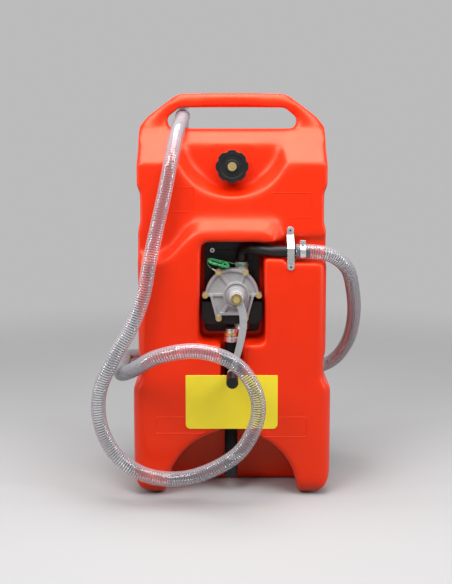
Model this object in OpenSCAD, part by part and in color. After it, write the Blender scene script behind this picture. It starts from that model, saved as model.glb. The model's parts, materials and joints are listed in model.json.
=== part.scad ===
// Wheeled portable fuel tank with a hand-cranked rotary pump, a suction line and a clear delivery hose.
// Millimetres. +Z is up, the front faces -Y and the right side faces +X.
// The origin lies on the floor, under the middle of the tank's length from crank knob to wheels.

/* [Tank] */
// Height over the handle
tank_height = 870; // [840:1:900]
// Width of the body above the base
tank_width = 404; // [396:1:416]
// Width of the base between the outer sides of the feet
base_width = 428; // [424:1:440]
// Depth of the body from front to back
tank_depth = 270; // [262:1:280]
// Thickness of the moulded wall
wall = 4.5; // [3.5:0.1:6]
// Radius of the upright corners
corner_radius = 30; // [20:1:36]
// Radius of the outer lower corner of each foot, seen from the front
foot_radius = 50; // [36:1:56]
// Radius of the lower front and rear edges
toe_radius = 35; // [24:1:40]
// Height of the widened base
base_top = 238; // [230:1:244]
// Depth of the two grip grooves in each side
side_groove = 5; // [3:0.5:7]
// How far the upper chest stands behind the lower one
chest_step = 28; // [24:0.5:31]
// Height at which the raised lower chest ends, in the middle
chest_top = 607; // [603:1:612]
// Height of the sloped band on top of the raised chest
chest_band = 33; // [24:1:36]
// Setback of the ledge above the shoulders
ledge_setback = 75; // [70:1:80]
// Height of the ledge
ledge_height = 759; // [756:1:762]

/* [Handle] */
// Height of the underside of the handle gap
handle_base = 793; // [790:1:796]
// Clear height of the handle gap
handle_gap = 45.6; // [44:0.2:48]
// Clear width of the handle gap
handle_gap_width = 289; // [270:1:300]
// Depth of the handle bar
grip_depth = 36; // [32:1:40]

/* [Filler] */
// Height of the filler axis
filler_height = 712; // [709:1:715]
// Radius of the scoop around the filler, at its bottom
scoop_radius = 104; // [98:1:108]
// Bore radius of the filler neck
neck_bore = 22.5; // [20:0.1:23.5]
// Outer radius of the filler neck
neck_radius = 27; // [25.5:0.1:27.8]
// Length of the filler neck
neck_length = 33; // [28:0.5:36]
// Outer radius of the cap over its lobes
cap_radius = 35; // [34:0.1:38]
// Height of the cap
cap_height = 32; // [28:0.5:35]
// Number of finger hollows around the cap
cap_lobes = 8; // [6:1:10]

/* [Pump] */
// Height of the pump's centre
pump_height = 435; // [433:0.5:438]
// Radius of the bolt circle of the cover
bolt_circle = 58; // [57:0.5:59]
// Radius of the pump body
body_radius = 44.5; // [44:0.1:46]
// Radius of the pumping chamber
chamber_radius = 38.5; // [38:0.1:39.5]
// Radius of the rotor
rotor_radius = 28.5; // [26:0.1:28.9]
// How far the rotor's axis lies to the right of the chamber's
rotor_offset = 9; // [8:0.1:9.6]
// Radius of the pump shaft
shaft_radius = 8; // [6.5:0.1:8.6]
// Radius of the outlet and inlet necks
port_radius = 14; // [13:0.1:14.6]
// Distance of the ports to the right of the pump's centre
port_offset = 21; // [19:0.5:23]

/* [Crank] */
// Distance from the shaft to the knob's axis
crank_length = 162; // [150:1:163]
// Width of the crank arm at the shaft
arm_width = 17; // [14:0.5:19]
// Thickness of the crank arm
arm_thickness = 11; // [9:0.5:12]
// Radius of the knob
knob_radius = 12.5; // [11:0.1:13]
// Length of the knob
knob_length = 62.5; // [50:0.5:63]
// Radius of the knob's spindle
spindle_radius = 5; // [4:0.1:5.6]

/* [Pipes] */
// Outer radius of the outlet pipe
pipe_radius = 12.3; // [11.5:0.1:12.4]
// Wall of the outlet pipe
pipe_wall = 3; // [2:0.1:4]
// Outer radius of the suction hose
suction_radius = 14; // [13.4:0.1:14.4]
// Bore radius of the suction hose
suction_bore = 10.5; // [10:0.1:11]
// Outer radius of the delivery hose
hose_radius = 15.5; // [15:0.1:15.8]
// Wall of the delivery hose
hose_wall = 2.8; // [2:0.1:2.9]
// Width of the hose clamps' bands
clamp_width = 12; // [9:0.5:13]
// Outer radius of the bent spout
spout_radius = 11; // [10:0.1:11.8]

/* [Wheels] */
// Radius of the wheels
wheel_radius = 75; // [72:0.5:77]
// Width of the wheels
wheel_width = 36; // [30:0.5:37]
// Radius of the axle
axle_radius = 6; // [5:0.1:7]

/* [Hidden] */
$fn = 64;

// Colours as the photograph shows them
red = [0.85, 0.14, 0.06];
black = [0.09, 0.09, 0.09];
cast_grey = [0.6, 0.6, 0.58];
zinc_gold = [0.78, 0.64, 0.3];
steel = [0.75, 0.75, 0.75];
rubber = [0.13, 0.13, 0.13];
clear = [0.85, 0.8, 0.78];
wire_green = [0.35, 0.6, 0.15];

// Clearances
running = 0.05;
slip = 0.3;
easy = 0.6;
seat = 0.02;
eps = 0.01;

// Setbacks count from the front face of the lower chest towards the back
wheel_overhang = 12;
arm_back = -9;
hub_rise = 4;
eye_rise = 3;
arm_face = arm_back - arm_thickness - hub_rise;
knob_gap = 2.5;
knob_back = arm_back - arm_thickness - eye_rise - knob_gap;
knob_face = knob_back - knob_length;
front_y = -(knob_face + tank_depth + wheel_overhang) / 2;
function at(setback) = front_y + setback;

// Points of a circular arc that rounds the corner b between a and c
function unit(v) = v / norm(v);
function corner_arc(a, b, c, r, steps) =
    let (
        u = unit(a - b),
        v = unit(c - b),
        half = acos(max(-1, min(1, u * v))) / 2,
        reach = r / tan(half),
        centre = b + unit(u + v) * r / sin(half),
        from = b + u * reach - centre,
        to = b + v * reach - centre,
        turn = 180 - 2 * half
    )
    [for (k = [0:steps])
        let (t = k / steps)
        centre + (from * sin(turn * (1 - t)) + to * sin(turn * t)) / sin(turn)];

// A closed outline whose corners [x, y, radius] are rounded; a radius of 0 keeps the corner
function rounded(corners, steps = 5) =
    let (n = len(corners), flat = [for (p = corners) [p[0], p[1]]])
    [for (k = [0:n - 1])
        each corners[k][2] == 0
            ? [flat[k]]
            : corner_arc(flat[(k + n - 1) % n], flat[k], flat[(k + 1) % n], corners[k][2], steps)];

// The right half of an outline, followed by its mirror image
function mirrored(half) = concat(
    half,
    [for (k = [len(half) - 1:-1:0]) [-half[k][0], half[k][1], half[k][2]]]
);

// Extrudes a shape drawn in (x, z) along Y, between two values of y
module along_y(y0, y1) {
    translate([0, y1, 0])
        rotate([90, 0, 0])
            linear_extrude(y1 - y0) children();
}

// Extrudes a shape drawn in (y, z) along X, between two values of x
module along_x(x0, x1) {
    translate([x0, 0, 0])
        rotate([90, 0, 90])
            linear_extrude(x1 - x0) children();
}

// A round bar along Y from one setback to another, with its axis at (x, z)
module bar_y(x, z, s0, s1, r) {
    translate([x, at(s0), z])
        rotate([-90, 0, 0])
            cylinder(r = r, h = s1 - s0);
}

// A round bar along X
module bar_x(x0, x1, y, z, r) {
    translate([x0, y, z])
        rotate([0, 90, 0])
            cylinder(r = r, h = x1 - x0);
}

// Sweeps a tube with a bore along a list of points; each ring stands square to the path
function path_tangent(path, k) = unit(path[min(k + 1, len(path) - 1)] - path[max(k - 1, 0)]);
function carry(n, t) = unit(n - t * (n * t));
function path_normals(path, first) = [
    for (k = 0, n = carry(first, path_tangent(path, 0));
        k < len(path);
        k = k + 1, n = k < len(path) ? carry(n, path_tangent(path, k)) : n) n
];
function tube_ring(path, normals, k, r, sides) =
    let (t = path_tangent(path, k), n = normals[k], b = cross(t, n))
    [for (j = [0:sides - 1]) path[k] + r * (cos(360 * j / sides) * n + sin(360 * j / sides) * b)];
function skin(first, rings, sides, flip) = [
    for (k = [0:rings - 2], j = [0:sides - 1])
        let (
            a = first + k * sides + j,
            b = first + k * sides + (j + 1) % sides,
            c = b + sides,
            d = a + sides
        )
        each flip ? [[a, c, b], [a, d, c]] : [[a, b, c], [a, c, d]]
];
function end_ring(outer, inner, sides, flip) = [
    for (j = [0:sides - 1])
        let (a = outer + j, b = outer + (j + 1) % sides, c = inner + (j + 1) % sides, d = inner + j)
        each flip ? [[a, c, b], [a, d, c]] : [[a, b, c], [a, c, d]]
];
module hollow_tube(path, r, bore, sides, first) {
    rings = len(path);
    normals = path_normals(path, first);
    outer = [for (k = [0:rings - 1]) each tube_ring(path, normals, k, r, sides)];
    inner = [for (k = [0:rings - 1]) each tube_ring(path, normals, k, bore, sides)];
    half = rings * sides;
    polyhedron(
        points = concat(outer, inner),
        faces = concat(
            skin(0, rings, sides, true),
            skin(half, rings, sides, false),
            end_ring(0, half, sides, false),
            end_ring(half - sides, 2 * half - sides, sides, true)
        )
    );
}
module solid_tube(path, r, sides, first) {
    rings = len(path);
    normals = path_normals(path, first);
    points = [for (k = [0:rings - 1]) each tube_ring(path, normals, k, r, sides)];
    last = (rings - 1) * sides;
    polyhedron(
        points = points,
        faces = concat(
            skin(0, rings, sides, true),
            [for (j = [1:sides - 2]) [0, j, j + 1]],
            [for (j = [1:sides - 2]) [last, last + j + 1, last + j]]
        )
    );
}

// Tank form: every value below grows or shrinks with the inset, so the same form makes the cavity
half_width = tank_width / 2;
half_base = base_width / 2;
chest_flare = 2;
lower_groove = [base_top + 14, base_top + 66];
upper_groove = [chest_top - 17, chest_top + 53];
groove_edge = 6;
handle_setback = ledge_setback + 37;
handle_back = handle_setback + grip_depth;
handle_top = handle_base + handle_gap;
handle_slope = 77;
shoulder_height = 720;
shoulder_pitch = (ledge_height - shoulder_height) / (ledge_setback - chest_step);
rear_shoulder = 690;
function front_outline(i) = rounded(mirrored([
    [half_base - i, i, foot_radius - i],
    [half_base - i, base_top, groove_edge],
    [half_width - side_groove - i, lower_groove[0], groove_edge],
    [half_width - side_groove - i, lower_groove[1], groove_edge],
    [half_width - i, lower_groove[1] + groove_edge, groove_edge],
    [half_width - i, upper_groove[0] - 2 * groove_edge, groove_edge],
    [half_width - side_groove - i, upper_groove[0], groove_edge],
    [half_width - side_groove - i, upper_groove[1], groove_edge],
    [half_width + chest_flare - i, upper_groove[1] + groove_edge, groove_edge],
    [half_width + chest_flare - i, handle_base + 3, 2 * groove_edge],
    [half_width - 16 - i, handle_base + 25, 25],
    [half_width - 16 - handle_slope + 9 - i, tank_height - i, 25]
]));
function handle_profile() = [
    [handle_setback - 4, handle_base, 8],
    [handle_setback, handle_base + 6, 3],
    [handle_setback, tank_height, grip_depth / 2 - 2],
    [handle_back, tank_height, grip_depth / 2 - 2],
    [handle_back, handle_base + 6, 3],
    [handle_back + 4, handle_base, 8]
];
function closed_profile(i) = [
    [handle_setback - 4, handle_base - 2 * i, 3],
    [handle_back + 4, handle_base - 2 * i, 3]
];
function side_outline(i) = rounded(concat(
    [
        [i, i, toe_radius - i],
        [i, shoulder_height - chest_step * shoulder_pitch - i, 12],
        [ledge_setback + i, ledge_height - i, 10]
    ],
    i == 0 ? handle_profile() : closed_profile(i),
    [
        [tank_depth - i, rear_shoulder - i, 25],
        [tank_depth - i, i, toe_radius - i]
    ]
));
function plan_outline(half, i) = rounded(mirrored([
    [half - i, i, corner_radius - i],
    [half - i, tank_depth - i, corner_radius - i]
]));

// The raised lower chest ends in an S-shaped band; blend runs from 0 at the upper chest to 1 at the front
chest_low = 77;
chest_rise = [-162, -62];
chest_right = 110;
band_spread = 22;
pipe_line = pump_height + 98;
function chest_edge(blend) =
    let (
        top = chest_top - chest_band * blend,
        low = chest_top - chest_low - band_spread * blend,
        right = chest_right - band_spread * blend,
        steps = 10
    )
    concat(
        [[tank_width, 2 * tank_height], [-tank_width, 2 * tank_height], [-tank_width, low]],
        [for (k = [0:steps])
            [chest_rise[0] + (chest_rise[1] - chest_rise[0]) * k / steps,
             low + (top - low) * (1 - cos(180 * k / steps)) / 2]],
        corner_arc([0, top], [right, top], [right, 0], 24, 5),
        [[right, pipe_line], [tank_width, pipe_line]]
    );

// A solid between two outlines of equally many points, drawn in (x, z) at two values of y.
// The first point of each outline sees all the others, so that both ends can be filled from it.
module loft(front, back, y0, y1) {
    n = len(front);
    polyhedron(
        points = concat([for (p = front) [p[0], y0, p[1]]], [for (p = back) [p[0], y1, p[1]]]),
        faces = concat(
            [[for (k = [0:n - 1]) (n - k) % n]],
            [[for (k = [0:n - 1]) n + k]],
            [for (k = [0:n - 1])
                let (a = k, b = (k + 1) % n)
                each [[a, b, n + b], [a, n + b, n + a]]]
        )
    );
}
module chest_relief(i) {
    overshoot = 2;
    translate([0, i, -i])
        loft(chest_edge(1 + overshoot / chest_step), chest_edge(0), at(-overshoot), at(chest_step));
}

// Hollows of the moulded tank
front_reach = 20;
scoop_rise = 58;
scoop_taper = 20 / 47;
module filler_scoop(i) {
    depth = ledge_setback + front_reach;
    floor_radius = scoop_radius + i;
    translate([0, at(ledge_setback) + i, filler_height + scoop_rise])
        rotate([90, 0, 0])
            cylinder(r1 = floor_radius, r2 = floor_radius + depth * scoop_taper, h = depth + i, $fn = 96);
}
pocket_depth = 88;
pocket_half = [66, 71];
pocket_below = 101;
pocket_above = 118;
pocket_z = [pump_height - pocket_below, pump_height + pocket_above];
module pump_pocket(i) {
    along_y(at(-front_reach), at(pocket_depth) + i)
        polygon(rounded(mirrored([
            [pocket_half[1] + i, pocket_z[0] - i, 14],
            [pocket_half[1] + i, pump_height - 35, 30],
            [pocket_half[0] + i, pocket_z[1] + i, 12]
        ])));
}
pipe_setback = pipe_radius + slip;
strap_x = 124;
strap_width = 15;
narrow_channel = [pipe_line - 14, pipe_line + 19, 46];
wide_channel = [pipe_line - 22, pipe_line + 30, 36];
module channel(span, x0, x1, i) {
    along_x(x0, x1)
        polygon(rounded([
            [at(-front_reach), span[0] - i, 0],
            [at(span[2]) + i, span[0] - i, 10],
            [at(span[2]) + i, span[1] + i, 10],
            [at(-front_reach), span[1] + i, 0]
        ]));
}
module hose_channel(i) {
    step_x = strap_x - strap_width / 2 - 5;
    channel(narrow_channel, 0, step_x + 1 + i, i);
    channel(wide_channel, step_x - i, base_width, i);
}
suction_x = -2;
suction_setback = 42;
slot_half = 24;
slot_depth = suction_setback + suction_radius + 6;
arch_radius = 142;
arch_depth = 108;
module suction_slot(i) {
    translate([0, 0, arch_radius / 2])
        linear_extrude(pump_height - arch_radius / 2)
            polygon(rounded(mirrored([
                [slot_half + i, at(-front_reach), 0],
                [slot_half + i, at(slot_depth) + i, 16]
            ])));
}
module front_arch(i) {
    bar_y(0, 2, -front_reach, arch_depth + i, arch_radius + i, $fn = 96);
}
axle_setback = tank_depth + wheel_overhang - wheel_radius;
rear_step = wheel_radius + 30;
well_gap = 9;
wheel_x = half_base - 10 - wheel_width;
module rear_underside(i) {
    translate([-base_width, at(axle_setback - 48) - i, -front_reach])
        cube([2 * base_width, tank_depth, rear_step + i + front_reach]);
    gap = well_gap + i;
    for (side = [0, 1])
        mirror([side, 0, 0])
            bar_x(wheel_x - gap, base_width, at(axle_setback), wheel_radius, wheel_radius + gap);
}
flute_x = 72;
flute_half = 20;
flute_depth = 7;
flute_z = [base_top + 20, rear_shoulder - 60];
module back_flutes(i) {
    for (x = [-flute_x, flute_x])
        along_y(at(tank_depth - flute_depth) - i, at(tank_depth + front_reach))
            polygon([for (p = rounded(mirrored([
                [flute_half + i, flute_z[0] - i, 16],
                [flute_half + i, flute_z[1] + i, 16]
            ]))) p + [x, 0]]);
}
module handle_opening() {
    half = handle_gap_width / 2;
    along_y(at(0), at(tank_depth))
        polygon(rounded(mirrored([
            [half - 6, handle_base, 12],
            [half, handle_base + handle_gap / 2, 12],
            [half - 28, handle_top, 16]
        ])));
}
module tank_form(i) {
    difference() {
        intersection() {
            along_y(at(0), at(tank_depth))
                polygon(front_outline(i));
            along_x(-base_width, base_width)
                polygon([for (p = side_outline(i)) [at(p[0]), p[1]]]);
            union() {
                linear_extrude(lower_groove[0] - 2 * i)
                    polygon([for (p = plan_outline(half_base, i)) [p[0], at(p[1])]]);
                linear_extrude(tank_height)
                    polygon([for (p = plan_outline(half_width + chest_flare, i)) [p[0], at(p[1])]]);
            }
        }
        chest_relief(i);
        filler_scoop(i);
        pump_pocket(i == 0 ? 0 : pocket_wall);
        hose_channel(i);
        suction_slot(i);
        front_arch(i);
        rear_underside(i);
        back_flutes(i);
    }
}

// Screw seats: thicker wall behind the pump, and bosses inside the cavity
pocket_wall = 10;
boss_radius = 7;
screw_radius = 2.5;
screw_head = 5;
screw_bite = 11;
boss_depth = screw_bite + 5;
strap_screw_z = [pipe_line - 31, pipe_line + 44];
strap_screw_s = [0, chest_step];
bracket_x = 118;
bracket_length = 56;
bracket_width = 30;
bracket_foot = 5;
bracket_screw_y = [-20, 20];
elbow_z = 48;
elbow_radius = 12;
module strap_screw_places() {
    for (k = [0, 1])
        translate([strap_x, at(strap_screw_s[k]), strap_screw_z[k]])
            rotate([-90, 0, 0]) children();
}
module bracket_screw_places() {
    for (x = [-bracket_x, bracket_x], y = bracket_screw_y)
        translate([x, at(axle_setback) + y, rear_step]) children();
}
plate_screw_x = 43;
plate_screw_z = [pump_height - 45, pump_height + 92];
module plate_screw_places() {
    for (x = [-plate_screw_x, plate_screw_x], z = plate_screw_z)
        translate([x, at(pocket_depth), z])
            rotate([-90, 0, 0]) children();
}
module tank_cavity() {
    difference() {
        tank_form(wall);
        strap_screw_places() cylinder(r = boss_radius, h = boss_depth);
        bracket_screw_places() cylinder(r = boss_radius, h = boss_depth);
    }
}
module tank() {
    color(red)
        difference() {
            union() {
                difference() {
                    tank_form(0);
                    tank_cavity();
                }
                bar_y(0, filler_height, ledge_setback - neck_length, ledge_setback + 1, neck_radius);
            }
            handle_opening();
            bar_y(0, filler_height, -front_reach, ledge_setback + 3 * wall, neck_bore);
            bar_y(suction_x, elbow_z, arch_depth - 1, arch_depth + 3 * wall, elbow_radius + slip);
            strap_screw_places() cylinder(r = screw_radius + running, h = screw_bite);
            bracket_screw_places() cylinder(r = screw_radius + running, h = screw_bite);
            plate_screw_places() cylinder(r = screw_radius + running, h = pocket_wall - 1);
        }
}

// Filler cap with its gasket and vent
gasket_thickness = 2;
cap_top = 6;
cap_face = ledge_setback - neck_length - gasket_thickness - cap_top;
cap_skirt = neck_radius + easy;
module filler_cap() {
    hollow_radius = 9;
    hollow_depth = 2.8;
    face_ring = [14, 25];
    face_depth = 1.5;
    color(black)
        difference() {
            bar_y(0, filler_height, cap_face, cap_face + cap_height, cap_radius);
            bar_y(0, filler_height, cap_face + cap_top, cap_face + cap_height + 1, cap_skirt);
            bar_y(0, filler_height, cap_face - 1, cap_face + cap_top + 1, vent_stem + running);
            bar_y(0, filler_height, cap_face - 1, cap_face + vent_seat, vent_radius + running);
            for (k = [0:cap_lobes - 1])
                let (turn = 360 * (k + 0.5) / cap_lobes, reach = cap_radius + hollow_radius - hollow_depth)
                bar_y(reach * cos(turn), filler_height + reach * sin(turn), cap_face - 1,
                      cap_face + cap_height + 1, hollow_radius);
            difference() {
                bar_y(0, filler_height, cap_face - 1, cap_face + face_depth, face_ring[1]);
                bar_y(0, filler_height, cap_face - 2, cap_face + face_depth + 1, face_ring[0]);
            }
        }
}
module cap_gasket() {
    color(rubber)
        difference() {
            bar_y(0, filler_height, cap_face + cap_top, cap_face + cap_top + gasket_thickness, neck_radius);
            bar_y(0, filler_height, cap_face, cap_face + cap_height, neck_bore);
        }
}
vent_radius = 9.5;
vent_stem = 4;
vent_seat = 1.5;
vent_rise = 2;
module cap_vent() {
    color(zinc_gold) {
        bar_y(0, filler_height, cap_face - vent_rise, cap_face + vent_seat, vent_radius);
        bar_y(0, filler_height, cap_face + vent_seat, cap_face + cap_top + vent_rise, vent_stem);
    }
}

// Pump: setbacks of its joints
plate_thickness = 4;
plate_face = pocket_depth - plate_thickness;
body_face = 46;
gasket_sheet = 1;
cover_back = body_face - gasket_sheet;
cover_face = 38;
rim_face = 33;
flange_thickness = 8;
chamber_back = 76;
boss_size = 7;
bolt_radius = 3;
ear_inset = 8;
foot_inset = 6.5;
hub_x = rotor_offset;
hub_z = pump_height + 1;
port_setback = (body_face + chamber_back) / 2;
outlet_top = pump_height + 70;
inlet_bottom = pump_height - 71;
inlet_flange = 7;
flange_radius = port_radius + 2.5;
module bolt_places() {
    for (k = [0:5])
        translate([bolt_circle * cos(60 * k), 0, pump_height + bolt_circle * sin(60 * k)]) children();
}

// The cover's outline in (x, z): round above, drawn in to its two lower bosses, with a boss at each bolt
module cover_outline(i) {
    reach = bolt_circle - i;
    foot = bolt_circle * [cos(60), -sin(60)];
    foot_edge = foot + [boss_size - i - 1, 0];
    foot_line = foot[1] + foot_inset + i;
    translate([0, pump_height]) {
        intersection() {
            circle(r = reach);
            translate([-2 * reach, 0]) square([4 * reach, 2 * reach]);
        }
        polygon([
            [ear_inset - reach, boss_size],
            [-foot_edge[0], foot_edge[1]],
            [boss_size / 2 - foot[0], foot_line],
            [foot[0] - boss_size / 2, foot_line],
            foot_edge,
            [reach - ear_inset, boss_size]
        ]);
        for (k = [0:5])
            translate(bolt_circle * [cos(60 * k), sin(60 * k)]) circle(r = boss_size - i);
    }
}
module mount_plate() {
    plate_margin = 6;
    plate_corner = 10;
    color(black)
        difference() {
            along_y(at(plate_face), at(pocket_depth))
                polygon(rounded(mirrored([
                    [pocket_half[0] - plate_margin, pocket_z[0] + 2 * plate_margin, plate_corner],
                    [pocket_half[0] - plate_margin, pocket_z[1] - plate_margin, plate_corner]
                ])));
            plate_screw_places()
                translate([0, 0, -plate_thickness - 1])
                    cylinder(r = screw_radius + slip, h = plate_thickness + 2);
        }
}
module pan_screw(shank, head, bite) {
    difference() {
        union() {
            translate([0, 0, -0.55 * head]) cylinder(r = head, h = 0.55 * head);
            cylinder(r = shank, h = bite);
        }
        for (turn = [0, 90])
            rotate(turn)
                translate([-0.6 * head, -0.14 * head, -0.55 * head - 1])
                    cube([1.2 * head, 0.28 * head, 1 + 0.25 * head]);
    }
}
module plate_screws() {
    color(steel)
        plate_screw_places()
            translate([0, 0, -plate_thickness])
                pan_screw(screw_radius, screw_head, plate_thickness + pocket_wall - 2);
}
module pump_cradle() {
    color(black)
        difference() {
            along_y(at(cover_face + 4), at(plate_face))
                polygon(rounded(mirrored([
                    [pocket_half[1] - 5, pump_height - 64, 14],
                    [pocket_half[1] - 5, pump_height - 15, 3]
                ])));
            bar_y(0, pump_height, 0, pocket_depth, body_radius + easy);
            along_y(at(0), at(body_face + flange_thickness + easy))
                cover_outline(-easy);
            plate_screw_places()
                translate([0, 0, -plate_thickness - screw_head])
                    cylinder(r = screw_head + easy, h = screw_head);
            translate([port_offset, at(port_setback), inlet_bottom - 10])
                cylinder(r = port_radius + 4, h = 60);
        }
}
module pump_body() {
    color(cast_grey)
        difference() {
            union() {
                bar_y(0, pump_height, body_face, plate_face, body_radius);
                along_y(at(body_face), at(body_face + flange_thickness)) cover_outline(0);
                translate([port_offset, at(port_setback), inlet_bottom])
                    cylinder(r = port_radius, h = outlet_top - inlet_bottom);
                translate([port_offset, at(port_setback), inlet_bottom])
                    cylinder(r = flange_radius, h = inlet_flange);
            }
            bar_y(0, pump_height, body_face - 1, chamber_back, chamber_radius);
            bar_y(hub_x, hub_z, chamber_back - 1, plate_face - 3, shaft_radius + running);
            translate([port_offset, at(port_setback), inlet_bottom - 1])
                cylinder(r = port_radius - 5, h = outlet_top - inlet_bottom + 2);
            bolt_places() bar_y(0, 0, body_face - 1, body_face + flange_thickness + 1, bolt_radius + running);
        }
}
module cover_gasket() {
    color(rubber)
        difference() {
            along_y(at(cover_back), at(body_face)) cover_outline(0);
            bar_y(0, pump_height, 0, pocket_depth, chamber_radius);
            bolt_places() bar_y(0, 0, 0, pocket_depth, bolt_radius + slip);
        }
}
hub_radius = 28;
hub_face = 26;
nose_radius = 17;
nose_face = 8;
gland_radius = 14.5;
packing_radius = 12;
rib_width = 6;
rim_width = 6;
module pump_cover() {
    color(cast_grey)
        difference() {
            union() {
                along_y(at(cover_face), at(cover_back)) cover_outline(0);
                along_y(at(rim_face), at(cover_face + eps))
                    difference() {
                        cover_outline(0);
                        difference() {
                            cover_outline(rim_width);
                            translate([0, pump_height])
                                for (k = [0:5])
                                    translate(bolt_circle * [cos(60 * k), sin(60 * k)]) circle(r = boss_size);
                        }
                    }
                for (k = [0:5])
                    let (tip = bolt_circle * [cos(60 * k), sin(60 * k)] + [0, pump_height] - [hub_x, hub_z])
                    translate([hub_x, 0, hub_z])
                        rotate([0, -atan2(tip[1], tip[0]), 0])
                            translate([0, at(rim_face + 1), -rib_width / 2])
                                cube([norm(tip), cover_face - rim_face, rib_width]);
                bar_y(hub_x, hub_z, hub_face, cover_face + eps, hub_radius);
                bar_y(hub_x, hub_z, hub_face - 4, hub_face + eps, hub_radius - 8);
                bar_y(hub_x, hub_z, nose_face, hub_face, nose_radius);
            }
            bar_y(hub_x, hub_z, -front_reach, cover_back + 1, shaft_radius + running);
            bar_y(hub_x, hub_z, nose_face - 1, hub_face + 6, packing_radius);
            difference() {
                bar_y(hub_x, hub_z, hub_face - 1, hub_face + 3, hub_radius - 3);
                bar_y(hub_x, hub_z, hub_face - 2, hub_face + 4, hub_radius - 8);
            }
            bolt_places() bar_y(0, 0, 0, pocket_depth, bolt_radius + slip);
            bar_y(terminal_bolt[0], terminal_bolt[1], 0, rim_face + terminal_sheet, terminal_radius + slip);
            terminal_frame() translate([0, -1, -2.5]) cube([terminal_reach, terminal_sheet + 1, 5]);
        }
}
bolt_head = 5.8;
bolt_washer = 6.5;
washer_sheet = 1.5;
head_height = 5;
module cover_bolts() {
    color(zinc_gold)
        bolt_places() {
            bar_y(0, 0, rim_face - washer_sheet, rim_face, bolt_washer);
            bar_y(0, 0, rim_face - washer_sheet - head_height, rim_face - washer_sheet, bolt_head, $fn = 6);
            bar_y(0, 0, rim_face, body_face + flange_thickness - 1, bolt_radius);
        }
}
module rotor_slots(width, inner, outer, s0, s1) {
    for (k = [0:3])
        translate([hub_x, at(s0), hub_z])
            rotate([0, 45 + 90 * k, 0])
                translate([inner, 0, -width / 2])
                    cube([outer - inner, s1 - s0, width]);
}
vane_width = 4;
vane_root = 15.5;
module rotor() {
    color(steel)
        difference() {
            bar_y(hub_x, hub_z, body_face + slip, chamber_back - slip, rotor_radius);
            bar_y(hub_x, hub_z, 0, pocket_depth, shaft_radius + seat);
            rotor_slots(vane_width + slip, vane_root - slip, rotor_radius + 1, body_face, chamber_back);
        }
}
module rotor_vanes() {
    color(black)
        rotor_slots(vane_width, vane_root, rotor_radius - 0.5, body_face + slip, chamber_back - slip);
}
crank_bolt_radius = 4;
crank_bolt_bite = 20;
module pump_shaft() {
    color(steel)
        difference() {
            bar_y(hub_x, hub_z, arm_face + hub_rise - 1, plate_face - 4, shaft_radius);
            bar_y(hub_x, hub_z, arm_face, arm_face + crank_bolt_bite + 2, crank_bolt_radius + running);
        }
}
module shaft_packing() {
    color(rubber)
        difference() {
            bar_y(hub_x, hub_z, hub_face - 6, hub_face + 6, packing_radius - seat);
            bar_y(hub_x, hub_z, 0, pocket_depth, shaft_radius + running);
        }
}
module gland_nut() {
    color(cast_grey)
        difference() {
            union() {
                bar_y(hub_x, hub_z, arm_back + 2, nose_face, gland_radius);
                bar_y(hub_x, hub_z, nose_face - eps, hub_face - 6, packing_radius - running);
            }
            bar_y(hub_x, hub_z, -2 * front_reach, pocket_depth, shaft_radius + running);
        }
}

// Crank: the arm's middle line is a curve from the shaft to the knob
crank_lean = 9;
knob_x = hub_x - crank_lean;
knob_z = hub_z - sqrt(crank_length * crank_length - crank_lean * crank_lean);
arm_bow = [31, -41];
arm_return = [14, 61];
function arm_point(t) =
    let (from = [hub_x, hub_z], to = [knob_x, knob_z])
    bezier(from, from + arm_bow, to + arm_return, to, t);
function arm_side(t, reach) =
    let (d = unit(arm_point(t + 0.01) - arm_point(t - 0.01)))
    arm_point(t) + reach * [-d[1], d[0]];
function arm_half(t) = arm_width / 2 - 2 * t;
module crank_arm() {
    steps = 12;
    arm_relief = 2;
    hub_boss = shaft_radius + 5.5;
    eye = spindle_radius + 5.5;
    color(cast_grey)
        difference() {
            union() {
                along_y(at(arm_back - arm_thickness - arm_relief), at(arm_back - arm_relief))
                    polygon(concat(
                        [for (k = [0:steps]) arm_side(k / steps, arm_half(k / steps))],
                        [for (k = [steps:-1:0]) arm_side(k / steps, -arm_half(k / steps))]
                    ));
                bar_y(hub_x, hub_z, arm_face, arm_back, hub_boss);
                bar_y(knob_x, knob_z, knob_back + knob_gap, arm_back, eye);
            }
            bar_y(hub_x, hub_z, arm_face - 1, arm_back + 1, shaft_radius + seat);
            bar_y(knob_x, knob_z, arm_face - 1, arm_back + 1, spindle_radius + seat);
        }
}
washer_radius = 12;
washer_thickness = 1.6;
module crank_washer() {
    color(zinc_gold)
        difference() {
            bar_y(hub_x, hub_z, arm_face - washer_thickness, arm_face, washer_radius);
            bar_y(hub_x, hub_z, arm_face - 5, arm_face + 1, crank_bolt_radius + slip);
        }
}
module crank_bolt() {
    head = arm_face - washer_thickness;
    head_radius = 7.5;
    color(zinc_gold) {
        bar_y(hub_x, hub_z, head - head_height, head, head_radius, $fn = 6);
        bar_y(hub_x, hub_z, head, arm_face + crank_bolt_bite, crank_bolt_radius);
    }
}
clip_face = knob_face + 10;
clip_width = 2;
clip_radius = spindle_radius + 1.2;
module knob_spindle() {
    color(steel)
        difference() {
            bar_y(knob_x, knob_z, knob_face + 4, arm_back, spindle_radius);
            difference() {
                bar_y(knob_x, knob_z, clip_face - seat, clip_face + clip_width + seat, spindle_radius + 1);
                bar_y(knob_x, knob_z, clip_face - 1, clip_face + clip_width + 1, spindle_radius - 1);
            }
        }
}
module knob_clip() {
    color(steel)
        difference() {
            bar_y(knob_x, knob_z, clip_face, clip_face + clip_width, clip_radius);
            bar_y(knob_x, knob_z, clip_face - 1, clip_face + clip_width + 1, spindle_radius - 1 + seat);
        }
}
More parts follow.
